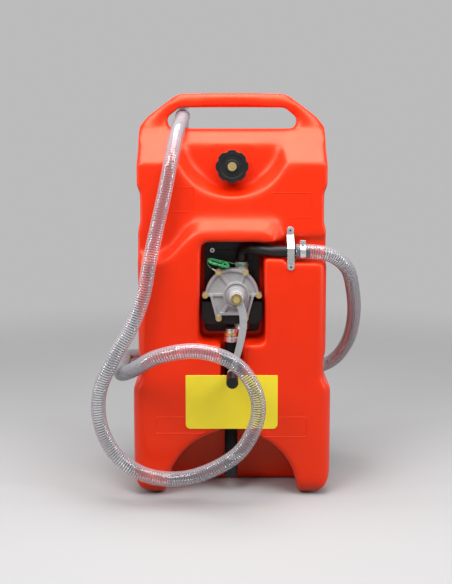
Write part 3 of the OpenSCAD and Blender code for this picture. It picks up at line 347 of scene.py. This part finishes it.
def smooth_path(points, step):
    """Points of a smooth curve through the given ones, about one step apart."""
    points = [Vector(p) for p in points]
    padded = [2 * points[0] - points[1], *points, 2 * points[-1] - points[-2]]
    path = []
    for a, b, c, d in zip(padded, padded[1:], padded[2:], padded[3:]):
        ta = 0.0
        tb = ta + math.sqrt((b - a).length)
        tc = tb + math.sqrt((c - b).length)
        td = tc + math.sqrt((d - c).length)
        count = max(1, round((c - b).length / step))
        for k in range(count):
            t = tb + (tc - tb) * k / count
            p = a * ((tb - t) / (tb - ta)) + b * ((t - ta) / (tb - ta))
            q = b * ((tc - t) / (tc - tb)) + c * ((t - tb) / (tc - tb))
            r = c * ((td - t) / (td - tc)) + d * ((t - tc) / (td - tc))
            u = p * ((tc - t) / (tc - ta)) + q * ((t - ta) / (tc - ta))
            v = q * ((td - t) / (td - tb)) + r * ((t - tb) / (td - tb))
            path.append(u * ((tc - t) / (tc - tb)) + v * ((t - tb) / (tc - tb)))
    path.append(points[-1])
    return path


def path_frames(path, first):
    """A normal and a binormal at each point, carried along without twist."""
    frames = []
    normal = Vector(first)
    for k in range(len(path)):
        tangent = (path[min(k + 1, len(path) - 1)] - path[max(k - 1, 0)]).normalized()
        normal = (normal - tangent * normal.dot(tangent)).normalized()
        frames.append((normal.copy(), tangent.cross(normal)))
    return frames


def ring(centre, normal, binormal, radius, sides):
    """Points around a circle."""
    turns = [2 * math.pi * j / sides for j in range(sides)]
    return [centre + radius * (math.cos(a) * normal + math.sin(a) * binormal) for a in turns]


def bridge(first, second, sides):
    """Quads between two rings whose points start at the given numbers."""
    return [
        (first + j, first + (j + 1) % sides, second + (j + 1) % sides, second + j)
        for j in range(sides)
    ]


def skin(rings, closed=False, smooth=True):
    """A mesh over a stack of rings: closed joins the last to the first, or else both ends are capped."""
    sides = len(rings[0])
    last = (len(rings) - 1) * sides
    faces = []
    for start in range(0, last, sides):
        faces += bridge(start, start + sides, sides)
    if closed:
        faces += bridge(last, 0, sides)
    else:
        faces.append(tuple(reversed(range(sides))))
        faces.append(tuple(range(last, last + sides)))
    return mesh_from([point for points in rings for point in points], faces, smooth)


def tube(path, radius, sides, bore=None, first=(0.0, 1.0, 0.0)):
    """A tube along a path, hollow with a bore; radius may be a function of the share of the path."""
    frames = path_frames(path, first)
    last = len(path) - 1
    outer_radius = radius if callable(radius) else lambda share: radius
    outside = [ring(p, *frames[k], outer_radius(k / last), sides) for k, p in enumerate(path)]
    if bore is None:
        return skin(outside)
    inside = [ring(p, *frames[k], bore, sides) for k, p in enumerate(path)]
    return skin(outside + inside[::-1], closed=True)


def lathe(profile, centre, axis, sides, closed=False):
    """Turns a profile of (along, radius) about an axis; a closed one leaves a hole in the middle."""
    axis = Vector(axis)
    normal = axis.orthogonal().normalized()
    binormal = axis.cross(normal)
    centre = Vector(centre)
    rings = [ring(centre + axis * along, normal, binormal, radius, sides) for along, radius in profile]
    return skin(rings, closed)


def rounded_outline(low, high, radii):
    """Points (x, z) of a rectangle with rounded corners: radii for the lower and the upper corners."""
    corners = [
        (high[0], low[1], radii[0], -90), (high[0], high[1], radii[1], 0),
        (low[0], high[1], radii[1], 90), (low[0], low[1], radii[0], 180),
    ]
    outline = []
    for x, z, radius, start in corners:
        inward_x = -radius if x == high[0] else radius
        inward_z = -radius if z == high[1] else radius
        for k in range(CORNER_STEPS + 1):
            a = math.radians(start + 90 * k / CORNER_STEPS)
            outline.append((x + inward_x + radius * math.cos(a), z + inward_z + radius * math.sin(a)))
    return outline


def inset(low, high, amount):
    """A rectangle's two corners, moved inward."""
    return (low[0] + amount, low[1] + amount), (high[0] - amount, high[1] - amount)


def layered(layers, closed=False):
    """Skins a stack of (y, outline) with flat faces; the outlines have equally many points."""
    return skin([[(x, y, z) for x, z in outline] for y, outline in layers], closed, smooth=False)


def joined(meshes):
    """One mesh out of several."""
    shape = bmesh.new()
    for mesh in meshes:
        shape.from_mesh(mesh)
    mesh = bpy.data.meshes.new("joined")
    shape.to_mesh(mesh)
    shape.free()
    mesh.polygons.foreach_set("use_smooth", [True] * len(mesh.polygons))
    return mesh


def apply_modifiers(piece):
    """Puts the result of a piece's modifiers in place of its mesh."""
    graph = bpy.context.evaluated_depsgraph_get()
    graph.update()
    mesh = bpy.data.meshes.new_from_object(piece.evaluated_get(graph))
    piece.modifiers.clear()
    old = piece.data
    piece.data = mesh
    bpy.data.meshes.remove(old)
    mesh.polygons.foreach_set("use_smooth", [True] * len(mesh.polygons))


def add_smoothing(piece, name, passes):
    smooth = piece.modifiers.new(name, "SMOOTH")
    smooth.factor = SMOOTH_FACTOR
    smooth.iterations = passes
    return smooth


def soften(mesh, voxel, passes):
    """Remeshes a closed mesh evenly and smooths its edges round, as a mould or casting has them."""
    piece = new_object("softened", mesh)
    remesh = piece.modifiers.new("remesh", "REMESH")
    remesh.mode = "VOXEL"
    remesh.voxel_size = voxel
    remesh.use_smooth_shade = True
    add_smoothing(piece, "smooth", passes)
    apply_modifiers(piece)
    mesh = piece.data
    bpy.data.objects.remove(piece)
    return mesh


def welded_copy(node):
    """A copy of a node's mesh with its faces joined."""
    mesh = frame["nodes"][node].data.copy()
    shape = bmesh.new()
    shape.from_mesh(mesh)
    bmesh.ops.remove_doubles(shape, verts=shape.verts, dist=MESH_WELD)
    shape.to_mesh(mesh)
    shape.free()
    return mesh


# Delivery hose: its route in millimetres, from its clamp round the back and the front to the handle
HOSE_ROUTE = [
    (135, -84.4, 533), (166, -84.4, 533), (207, -85, 526), (243, -70, 499), (266, -17, 438),
    (277, 50, 362), (270, 112, 292), (241, 166, 236), (190, 196, 208), (110, 198, 200),
    (-20, 198, 208), (-140, 198, 226), (-212, 190, 243), (-247, 126, 256), (-246, 44, 262),
    (-243, -41, 266), (-234, -107, 274), (-205, -167, 297), (-150, -205, 334), (-70, -211, 347),
    (5, -211, 321), (47, -208, 262), (51, -200, 205), (18, -190, 134), (-45, -179, 88),
    (-110, -168, 66), (-180, -160, 71), (-240, -155, 109), (-274, -152, 172), (-277, -151, 243),
    (-248, -148, 315), (-211, -138, 378), (-187, -126, 440), (-174, -118, 508), (-157, -104, 588),
    (-141, -97, 660), (-128, -86, 728), (-118, -42, 783), (-110, 12, 811), (-110, 78, 824),
]
HOSE_STEP = 0.01
HOSE_SIDES = 32
HELIX_RADIUS = 0.00075
HELIX_COVER = 0.00005
HELIX_PITCH = 0.0052
HELIX_STEPS = 14
HELIX_SIDES = 6


def helix(path, radius, pitch, per_turn):
    """A winding around a path."""
    dense = smooth_path(path, pitch / per_turn)
    frames = path_frames(dense, (0.0, 1.0, 0.0))
    turn = 0.0
    points = []
    for k, (p, (normal, binormal)) in enumerate(zip(dense, frames)):
        if k:
            turn += 2 * math.pi * (p - dense[k - 1]).length / pitch
        points.append(p + radius * (math.cos(turn) * normal + math.sin(turn) * binormal))
    return points


def make_hose():
    """A clear hose with a steel helix in its wall."""
    path = smooth_path([[v / 1000 for v in p] for p in HOSE_ROUTE], HOSE_STEP)
    hose = add_piece(
        "delivery_hose_tube", tube(path, HOSE_RADIUS, HOSE_SIDES, HOSE_BORE), "clear_hose",
        replaces=["delivery_hose"],
    )
    winding = helix(path, HOSE_RADIUS - HELIX_COVER - HELIX_RADIUS, HELIX_PITCH, HELIX_STEPS)
    wound = tube(winding, HELIX_RADIUS, HELIX_SIDES)
    wire = add_piece("delivery_hose_helix", wound, "steel", material=HELIX_STEEL)


# Earth wire: a lead from the terminal, a tied hank of two layers, and a turn round the pump's neck
HANK_TURNS = 5
HANK_PITCH = 0.0023
HANK_RUN = 0.027
HANK_FOLD = 0.0055
HANK_TILT = math.radians(15.0)
HANK_ROLL = math.radians(70.0)
HANK_MIDDLE = Vector((-0.029, at(0.029), 0.506))
HANK_STEPS = 24
FOLD_SHARE = 0.35
TURN_OVER = (HANK_TURNS - 1) / 2 + FOLD_SHARE
LAYER_CHANGE = 0.5 - FOLD_SHARE
NECK = Vector((0.021, at(0.061), 0.498))
NECK_COIL = 0.0154
NECK_COIL_RISE = 0.003
NECK_COIL_START = -100.0
NECK_COIL_SWEEP = 370.0
NECK_COIL_STEPS = 16
TIE_TURNS = (0.008, 0.0099)
TIE_HALF = (0.0134, 0.0032)
TIE_ROUNDING = 0.0022
WIRE_STEP = 0.001
WIRE_SIDES = 10

# Leads of the wire as (x, setback, z) in millimetres: from the terminal to the hank, and on to the neck
LEAD_IN = [
    (-42.86, 33.5, 493.23), (-47, 33.5, 496), (-51.2, 35, 501), (-52.8, 37.5, 506.5),
    (-49.6, 39.3, 511.3), (-43, 39.7, 512.1), (-29, 39.7, 508.4),
]
LEAD_OUT = [(-5, 40, 505.3), (4, 41.5, 503), (11, 43.8, 500.6)]


def wire_lead(points):
    """The points of a lead in metres."""
    return [Vector((x / 1000, at(s / 1000), z / 1000)) for x, s, z in points]


def in_hank(along, across, depth):
    """A point given in the frame of the hank, which is rolled about its length and tilted."""
    up = across * math.cos(HANK_ROLL) - depth * math.sin(HANK_ROLL)
    back = across * math.sin(HANK_ROLL) + depth * math.cos(HANK_ROLL)
    return HANK_MIDDLE + Vector((
        along * math.cos(HANK_TILT) + up * math.sin(HANK_TILT),
        back,
        -along * math.sin(HANK_TILT) + up * math.cos(HANK_TILT),
    ))


def hank_radius(turn):
    """The radius of the hank's folds, least where the wire goes from one layer to the other."""
    return HANK_FOLD + HANK_PITCH * max(TURN_OVER - turn, 0.0, turn - TURN_OVER - LAYER_CHANGE)


def hank_point(turn):
    """A point of the hank: two straight runs and two folds for each turn."""
    radius = hank_radius(turn)
    share = turn - math.floor(turn)
    side = 1.0 if share < 0.5 else -1.0
    share %= 0.5
    if share < FOLD_SHARE:
        a = math.pi / 2 - math.pi * share / FOLD_SHARE
        along = side * (HANK_RUN / 2 + radius * math.cos(a))
        across = side * radius * math.sin(a)
    else:
        along = side * (HANK_RUN / 2 - HANK_RUN * (share - FOLD_SHARE) / LAYER_CHANGE)
        across = -side * radius
    layer = max(0.0, min(1.0, (turn - TURN_OVER) / LAYER_CHANGE)) - 0.5
    return in_hank(along, across, -HANK_PITCH * layer)


def neck_coil():
    """A turn of the wire around the neck of the pump."""
    coil = []
    for k in range(NECK_COIL_STEPS + 1):
        share = k / NECK_COIL_STEPS
        a = math.radians(NECK_COIL_START + NECK_COIL_SWEEP * share)
        offset = Vector((math.cos(a), math.sin(a), 0.0)) * NECK_COIL
        coil.append(NECK + offset + Vector((0.0, 0.0, NECK_COIL_RISE * share)))
    return coil


def make_tie():
    """Two turns of wire around the hank."""
    low = (-TIE_HALF[0], -TIE_HALF[1])
    outline = rounded_outline(low, TIE_HALF, (TIE_ROUNDING, TIE_ROUNDING))
    length = (math.cos(HANK_TILT), 0.0, -math.sin(HANK_TILT))
    turns = []
    for along in TIE_TURNS:
        path = [in_hank(along, across, depth) for across, depth in [*outline, outline[0]]]
        turns.append(tube(path, WIRE_RADIUS, WIRE_SIDES, first=length))
    return add_piece("wire_tie_turns", joined(turns), "green_wire", replaces=["wire_tie"])


def make_wire(tie):
    """The wire from its terminal through the hank to the pump's neck."""
    hank = [hank_point(k / HANK_STEPS) for k in range(HANK_TURNS * HANK_STEPS + 1)]
    path = smooth_path([*wire_lead(LEAD_IN), *hank, *wire_lead(LEAD_OUT), *neck_coil()], WIRE_STEP)
    wire = add_piece(
        "earth_wire_strand", tube(path, WIRE_RADIUS, WIRE_SIDES), "green_wire", replaces=["earth_wire"]
    )


# Pipes
PIPE_SIDES = 40
PIPE_FOOT_Z = 0.505
PIPE_RISE = 0.007
PIPE_PULL = 0.04
PIPE_BEND_STEPS = 40
PIPE_BEND_END = 0.1
PIPE_STRAP_X = 0.13
PIPE_END = 0.165
COLLAR_SIDES = 48
COLLAR_X = 0.132
COLLAR_WIDTH = 0.003
COLLAR_RADIUS = 0.015
COLLAR_EDGE = 0.0007
COLLAR_SINK = 0.001
SUCTION_BORE = 0.0095
SUCTION_STEPS = 120
SUCTION_CLAMPS_Z = (0.078, 0.339)
SQUEEZE = 0.0005
SQUEEZE_REACH = 0.007


def bezier(a, b, c, d, t):
    """A point of the curve from a to d that b and c pull."""
    return (1 - t) ** 3 * a + 3 * t * (1 - t) ** 2 * b + 3 * t * t * (1 - t) * c + t ** 3 * d


def make_outlet_pipe():
    """A pipe that rises from the pump's neck and bends to the right, with a collar by the strap."""
    foot = Vector((NECK.x, NECK.y, PIPE_FOOT_Z))
    start = foot + Vector((0.0, 0.0, PIPE_RISE))
    end = Vector((PIPE_BEND_END, PIPE_Y, PIPE_Z))
    above_start = start + Vector((0.0, 0.0, PIPE_PULL))
    before_end = end - Vector((PIPE_PULL, 0.0, 0.0))
    path = [foot]
    for k in range(PIPE_BEND_STEPS + 1):
        path.append(bezier(start, above_start, before_end, end, k / PIPE_BEND_STEPS))
    path += [Vector((x, PIPE_Y, PIPE_Z)) for x in (PIPE_STRAP_X, PIPE_END)]
    pipe = tube(path, PIPE_RADIUS, PIPE_SIDES, PIPE_RADIUS - PIPE_WALL, (0.0, -1.0, 0.0))
    inner = PIPE_RADIUS - COLLAR_SINK
    edge = COLLAR_RADIUS - COLLAR_EDGE
    profile = [
        (0.0, inner), (0.0, edge), (COLLAR_EDGE, COLLAR_RADIUS),
        (COLLAR_WIDTH - COLLAR_EDGE, COLLAR_RADIUS), (COLLAR_WIDTH, edge), (COLLAR_WIDTH, inner),
    ]
    collar = lathe(profile, (COLLAR_X, PIPE_Y, PIPE_Z), (1.0, 0.0, 0.0), COLLAR_SIDES, closed=True)
    add_piece("outlet_pipe_bent", joined([pipe, collar]), "black_plastic", replaces=["outlet_pipe"])


def make_suction_hose():
    """A straight rubber hose, squeezed in a little under each clamp."""
    low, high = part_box("suction_hose")
    centre = (Vector(low) + Vector(high)) / 2
    radius = (high[0] - low[0]) / 2

    def height(share):
        return low[2] + (high[2] - low[2]) * share

    def squeezed(share):
        near = min(abs(height(share) - z) for z in SUCTION_CLAMPS_Z)
        return radius - SQUEEZE * math.exp(-((near / SQUEEZE_REACH) ** 2))

    path = [Vector((centre.x, centre.y, height(k / SUCTION_STEPS))) for k in range(SUCTION_STEPS + 1)]
    mesh = tube(path, squeezed, PIPE_SIDES, SUCTION_BORE)
    add_piece("suction_hose_tube", mesh, "black_rubber", replaces=["suction_hose"])


# Label plate and plain moulded panels
LABEL_LOW = (-0.0994, 0.1508)
LABEL_HIGH = (0.0976, 0.2681)
LABEL_RADII = (0.010, 0.002)
LABEL_THICKNESS = 0.0014
LABEL_EDGE = 0.0004
PANELS = {
    "panel_upper_left": ((-0.1424, 0.6147), (-0.08, 0.669), at(0.028)),
    "panel_upper_right": ((0.0846, 0.603), (0.1701, 0.6573), at(0.028)),
    "panel_lower_left": ((-0.1632, 0.1393), (-0.060, 0.1768), at(0.0)),
    "panel_lower_right": ((0.066, 0.1315), (0.1612, 0.1768), at(0.0)),
}
PANEL_HEIGHT = 0.0006
PANEL_WIDTH = 0.0016
PANEL_SLOPE = 0.0004
PANEL_RADIUS = 0.003


def make_label():
    """A blank plate with a fine edge."""
    outline = rounded_outline(LABEL_LOW, LABEL_HIGH, LABEL_RADII)
    corners = inset(LABEL_LOW, LABEL_HIGH, LABEL_EDGE)
    smaller = rounded_outline(*corners, [radius - LABEL_EDGE for radius in LABEL_RADII])
    layers = [
        (at(0.0), outline),
        (at(LABEL_EDGE - LABEL_THICKNESS), outline),
        (at(-LABEL_THICKNESS), smaller),
    ]
    add_piece("label_plate", layered(layers), None, material=YELLOW_PLATE)


def make_panels():
    """Low frames moulded on the chest, each a ring with sloping sides."""
    section = [
        (PANEL_HEIGHT, 0.0), (0.0, 0.0), (-PANEL_HEIGHT, PANEL_SLOPE),
        (-PANEL_HEIGHT, PANEL_WIDTH - PANEL_SLOPE), (0.0, PANEL_WIDTH), (PANEL_HEIGHT, PANEL_WIDTH),
    ]
    for name, (low, high, face) in PANELS.items():
        layers = [
            (face + depth, rounded_outline(*inset(low, high, amount), (PANEL_RADIUS, PANEL_RADIUS)))
            for depth, amount in section
        ]
        add_piece(name, layered(layers, closed=True), "red_plastic")


# Screw sockets, as painted shade: dark discs where their hollows would lie in shade
SOCKET_RADIUS = 0.0021
SOCKET_SHEET = 0.0003
SOCKET_SIDES = 24
SCREW_REACH = 0.006
SCREW_PLACES = {
    "strap_screws": [(0.124, 0.502), (0.124, 0.577)],
    "plate_screws": [(-0.043, 0.527), (0.043, 0.527)],
}


def front_of(node, x, z, reach):
    """The least y of a node's points near a place seen from the front."""
    points = [v.co for v in frame["nodes"][node].data.vertices]
    return min(p.y for p in points if math.hypot(p.x - x, p.z - z) < reach)


def make_socket_shades():
    """Dark discs in the heads of the screws that face the front: painted shade for their sockets'
    hollows.
    """
    profile = [(-SOCKET_SHEET, SOCKET_RADIUS), (SOCKET_SHEET, SOCKET_RADIUS)]
    for node, places in SCREW_PLACES.items():
        discs = []
        for x, z in places:
            centre = (x, front_of(node, x, z, SCREW_REACH), z)
            discs.append(lathe(profile, centre, (0.0, 1.0, 0.0), SOCKET_SIDES))
        add_piece(node + "_painted_shade", joined(discs), "steel", material=PAINTED_SOCKET_SHADE)


# Tyres: the side's points are (in from the side, below the tread)
TYRE_SIDES = 144
TYRE_BORE = 0.0502
TYRE_SIDE = [(0.0, 0.015), (0.001, 0.009), (0.004, 0.003), (0.008, 0.0008)]
TREAD_EDGE = 0.004
GROOVE_DEPTH = 0.0016
GROOVE_TOP = 0.004
GROOVE_FLOOR = 0.003
NOTCH_EVERY = 8
NOTCH_WIDTH = 2


def tyre_profile(outer, half):
    """Points (along, radius) around the section of a tyre, which has a groove round its middle."""
    side = [(-half, TYRE_BORE), *((inward - half, outer - drop) for inward, drop in TYRE_SIDE)]
    floor = outer - GROOVE_DEPTH
    groove = [(-GROOVE_TOP, outer), (-GROOVE_FLOOR, floor), (GROOVE_FLOOR, floor), (GROOVE_TOP, outer)]
    return side + groove + [(-along, radius) for along, radius in reversed(side)]


def cut_notches(mesh, profile, outer):
    """Sinks evenly spaced notches into both halves of a tread, half a space apart."""
    for k, (along, radius) in enumerate(profile):
        if radius < outer - TREAD_EDGE or abs(along) <= GROOVE_FLOOR:
            continue
        skew = 0 if along < 0 else NOTCH_EVERY // 2
        for j in range(TYRE_SIDES):
            if (j + skew) % NOTCH_EVERY < NOTCH_WIDTH:
                point = mesh.vertices[k * TYRE_SIDES + j].co
                arm = Vector((0.0, point.y - AXLE_Y, point.z - AXLE_Z))
                point -= arm.normalized() * GROOVE_DEPTH


def make_tyres():
    """A tyre with a grooved and notched tread for each wheel."""
    for wheel in ("wheel_left", "wheel_right"):
        low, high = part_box(wheel + "_tyre")
        outer = (high[2] - low[2]) / 2
        profile = tyre_profile(outer, (high[0] - low[0]) / 2)
        centre = ((low[0] + high[0]) / 2, AXLE_Y, AXLE_Z)
        mesh = lathe(profile, centre, (1.0, 0.0, 0.0), TYRE_SIDES, closed=True)
        cut_notches(mesh, profile, outer)
        add_piece(wheel + "_tread", mesh, "tyre", wheel, [wheel + "_tyre"])


# Floor and light: levels of the floor and the sky as seen and as soft light, and lamps in watts
FLOOR_SIDES = 64
FLOOR_DROP = 0.0005
FLOOR_FADE = (0.7, 2.4)
FLOOR_SEEN = (0.45, 0.45, 0.455)
FLOOR_SOFT = (0.18, 0.18, 0.18)
SKY_SEEN = 0.5
SKY_SOFT = 0.09
LAMP_TARGET = Vector((0.0, -0.1, 0.45))
LAMPS = {
    "top": {"place": (0.0, -0.3, 2.35), "size": (1.5, 1.8), "power": 54.0},
    "left": {"place": (-1.3, -1.6, 2.2), "size": (1.4, 1.0), "power": 40.0},
    "right": {"place": (1.3, -1.6, 2.2), "size": (1.4, 1.0), "power": 32.0},
    "strip_left": {"place": (-2.0, -0.6, 1.0), "size": (0.16, 1.8), "power": 12.0},
    "strip_right": {"place": (2.0, -0.6, 1.0), "size": (0.16, 1.8), "power": 14.0},
}


def seen_directly(tree):
    """1 for rays that show a thing, straight, mirrored or through glass, and 0 for rays of soft light."""
    rays = tree.nodes.new("ShaderNodeLightPath")
    seen = rays.outputs["Is Camera Ray"]
    for kind in ("Is Glossy Ray", "Is Transmission Ray"):
        either = tree.nodes.new("ShaderNodeMath")
        either.operation = "MAXIMUM"
        tree.links.new(seen, either.inputs[0])
        tree.links.new(rays.outputs[kind], either.inputs[1])
        seen = either.outputs["Value"]
    return seen


def pale_floor():
    """Pale where it is seen, darker in the light that it throws back, and fading out far away."""
    shader = Shader("pale_floor", roughness=0.7)
    shader.set("Specular IOR Level", 0.1)
    seen = seen_directly(shader.tree)
    shader.feed("Base Color", shader.ramp(seen, [(0.0, FLOOR_SOFT), (1.0, FLOOR_SEEN)]))
    distance = shader.tree.nodes.new("ShaderNodeVectorMath")
    distance.operation = "LENGTH"
    shader.tree.links.new(shader.place, distance.inputs["Vector"])
    fade = mapped(shader.tree, distance.outputs["Value"], FLOOR_FADE, (1.0, 0.0), "SMOOTHSTEP")
    shader.feed("Alpha", fade)
    return shader.material


def make_stage():
    """A round floor under the object."""
    centre = Vector((0.0, 0.0, -FLOOR_DROP))
    points = ring(centre, Vector((1.0, 0.0, 0.0)), Vector((0.0, 1.0, 0.0)), FLOOR_FADE[1], FLOOR_SIDES)
    floor = new_object("floor", mesh_from(points, [tuple(range(FLOOR_SIDES))]))
    floor.data.materials.append(pale_floor())


def add_lamp(name, place, size, power):
    """A rectangular lamp that faces the object."""
    data = bpy.data.lights.new(name, "AREA")
    data.shape = "RECTANGLE"
    data.size, data.size_y = size
    data.energy = power
    lamp = new_object(name, data)
    lamp.location = place
    lamp.rotation_mode = "QUATERNION"
    lamp.rotation_quaternion = (LAMP_TARGET - Vector(place)).to_track_quat("-Z", "Y")


def make_light():
    """The lamps, and a sky that is seen brighter than the soft light it gives."""
    world = bpy.data.worlds.new("studio")
    world.use_nodes = True
    tree = world.node_tree
    sky = tree.nodes["Background"].inputs
    sky["Color"].default_value = (1.0, 1.0, 1.0, 1.0)
    level = mapped(tree, seen_directly(tree), (0.0, 1.0), (SKY_SOFT, SKY_SEEN))
    tree.links.new(level, sky["Strength"])
    bpy.context.scene.world = world
    for name, lamp in LAMPS.items():
        add_lamp(name, **lamp)
    bpy.context.scene.view_settings.view_transform = "Standard"


# Tank
TANK_VOXEL = 0.003
NECK_BORE = 0.0225
NECK_FACE = FILLER.y + 0.042
NECK_END = at(0.095)
NECK_SPARED = 0.036
ELBOW_Z = 0.048
ELBOW_BORE = 0.0125
ELBOW_FACE = at(0.1)
ELBOW_END = at(0.13)
BORE_SLACK = 0.0003
BORE_END_SLACK = 0.0005
THROAT = [(-0.01, NECK_BORE), (0.04, NECK_BORE), (0.045, 0.04), (0.11, 0.04)]
THROAT_SIDES = 72
HANDLE_FOOT = 0.77
HANDLE_CORNER = (0.105, 0.87)
HANDLE_CORNER_REACH = 0.045
HANDLE_BAR_MIDDLE = 0.845
SCOOP_FLOOR = 0.06
SCOOP_REACH = 0.15
REGION_FADE = 0.015


def in_bore(points, x, z, radius, face, end):
    """True where all points lie on the wall of a bore along Y."""
    return all(
        math.hypot(p.x - x, p.z - z) < radius + BORE_SLACK
        and face - BORE_END_SLACK < p.y < end + BORE_END_SLACK
        for p in points
    )


def outer_skin(node):
    """The outside of a hollow node as a closed mesh: its bores are taken out and their mouths filled."""
    mesh = welded_copy(node)
    shape = bmesh.new()
    shape.from_mesh(mesh)
    bores = [
        (FILLER.x, FILLER.z, NECK_BORE, NECK_FACE, NECK_END),
        (SUCTION_X, ELBOW_Z, ELBOW_BORE, ELBOW_FACE, ELBOW_END),
    ]
    walls = [f for f in shape.faces if any(in_bore([v.co for v in f.verts], *b) for b in bores)]
    bmesh.ops.delete(shape, geom=walls, context="FACES")
    shape.faces.ensure_lookup_table()
    outermost = max(shape.faces, key=lambda f: f.calc_center_median().x)
    outside = {outermost}
    rim = [outermost]
    while rim:
        face = rim.pop()
        for edge in face.edges:
            for other in edge.link_faces:
                if other not in outside:
                    outside.add(other)
                    rim.append(other)
    bmesh.ops.delete(shape, geom=[f for f in shape.faces if f not in outside], context="FACES")
    bmesh.ops.holes_fill(shape, edges=[e for e in shape.edges if e.is_boundary], sides=0)
    shape.to_mesh(mesh)
    shape.free()
    return mesh


def cut(piece, cutter_mesh):
    """Takes a closed mesh out of a piece."""
    cutter = new_object("cutter", cutter_mesh)
    boolean = piece.modifiers.new("cut", "BOOLEAN")
    boolean.operation = "DIFFERENCE"
    boolean.solver = "EXACT"
    boolean.object = cutter
    apply_modifiers(piece)
    bpy.data.objects.remove(cutter)


def from_filler(place):
    """How far a place lies from the axis of the filler neck."""
    return math.hypot(place.x - FILLER.x, place.z - FILLER.z)


def handle_depth(place):
    """How far a place lies above the foot of the handle."""
    return place.z - HANDLE_FOOT


def handle_corner_depth(place):
    """How far a place lies inside the upper side of the handle bar's two corners."""
    from_corner = math.hypot(abs(place.x) - HANDLE_CORNER[0], place.z - HANDLE_CORNER[1])
    return min(HANDLE_CORNER_REACH - from_corner, place.z - HANDLE_BAR_MIDDLE)


def body_depth(place):
    """How far a place lies below the handle and clear of the filler neck."""
    return min(HANDLE_FOOT - place.z, from_filler(place) - NECK_SPARED)


def scoop_depth(place):
    """How far a place lies inside the ring that the scoop takes around the filler neck."""
    return min(SCOOP_REACH - from_filler(place), from_filler(place) - SCOOP_FLOOR)


def round_off(piece, name, passes, depth, only=None):
    """Smooths a region of a piece further: where depth, in metres inside the region, is above zero.

    With only, such as use_y, the points move along that axis, so the outline across it stays.
    """
    region = piece.vertex_groups.new(name=name)
    for vertex in piece.data.vertices:
        weight = min(1.0, depth(vertex.co) / REGION_FADE)
        if weight > 0.0:
            region.add([vertex.index], weight, "REPLACE")
    smooth = add_smoothing(piece, name, passes)
    smooth.vertex_group = name
    for axis in ("use_x", "use_y", "use_z"):
        setattr(smooth, axis, only in (None, axis))
    apply_modifiers(piece)


def make_tank():
    """The moulding, rounded region by region, with its filler neck open."""
    mesh = soften(outer_skin("tank"), TANK_VOXEL, passes=14)
    piece = add_piece("tank_moulding", mesh, "red_plastic", replaces=["tank"])
    round_off(piece, "handle", passes=160, depth=handle_depth, only="use_y")
    round_off(piece, "handle_corners", passes=60, depth=handle_corner_depth)
    round_off(piece, "broad", passes=50, depth=body_depth)
    round_off(piece, "scoop", passes=60, depth=scoop_depth)
    cut(piece, lathe(THROAT, (FILLER.x, NECK_FACE, FILLER.z), (0.0, 1.0, 0.0), THROAT_SIDES))


# Cast and moulded pieces: the voxel they are remeshed at, and how many passes smooth them
CASTINGS = {
    "pump_cover": (0.0007, 7),
    "pump_body": (0.0008, 4),
    "gland_nut": (0.0005, 4),
    "crank_arm": (0.0006, 8),
    "crank_knob": (0.0005, 4),
    "filler_cap": (0.0006, 3),
    "pump_cradle": (0.0008, 4),
    "inlet_elbow": (0.0006, 3),
    "tank_elbow": (0.0008, 5),
    "spout": (0.0005, 6),
}

# Pieces whose finish differs from the others of their slot: the gland nut in machined metal, and the
# crank washer in a darker copy of the yellow zinc, as painted shade
OWN_FINISH_AND_SHADE = {"gland_nut": MACHINED_METAL, "crank_washer": PAINTED_SHADE_GOLD}

# Fine bevels of the other pieces
NODE_WELD = 1e-5
BEVEL_WIDTH = 0.0004
BEVEL_SEGMENTS = 2
BEVEL_ANGLE = math.radians(40.0)


def make_soft_copies():
    """Stands for each casting with the same form and rounder edges."""
    bodies = frame["record"]["behaviour"]["bodies"]
    body_of = {node: body for body, nodes in bodies.items() for node in nodes}
    slot_of = {part["node"]: part["material_slot"] for part in frame["record"]["subparts"]}
    copies = {}
    for node, (voxel, passes) in CASTINGS.items():
        mesh = soften(welded_copy(node), voxel, passes)
        copies[node] = add_piece(
            node + "_soft", mesh, slot_of[node], body_of[node], [node], OWN_FINISH_AND_SHADE.get(node)
        )
    return copies


def finish_nodes():
    """Gives each shown node the finish of its slot, and fine bevels."""
    for part in frame["record"]["subparts"]:
        node = frame["nodes"][part["node"]]
        if node.hide_render:
            continue
        for slot in node.material_slots:
            slot.material = OWN_FINISH_AND_SHADE.get(part["node"], MATERIALS[part["material_slot"]])
        weld = node.modifiers.new("weld", "WELD")
        weld.merge_threshold = NODE_WELD
        bevel = node.modifiers.new("bevel", "BEVEL")
        bevel.width = BEVEL_WIDTH
        bevel.segments = BEVEL_SEGMENTS
        bevel.limit_method = "ANGLE"
        bevel.angle_limit = BEVEL_ANGLE
        node.modifiers.new("normals", "WEIGHTED_NORMAL")


make_camera()
softened = make_soft_copies()
make_hose()
make_wire(make_tie())
make_tank()
make_outlet_pipe()
make_suction_hose()
make_label()
make_panels()
make_socket_shades()
make_tyres()
finish_nodes()
make_stage()
make_light()
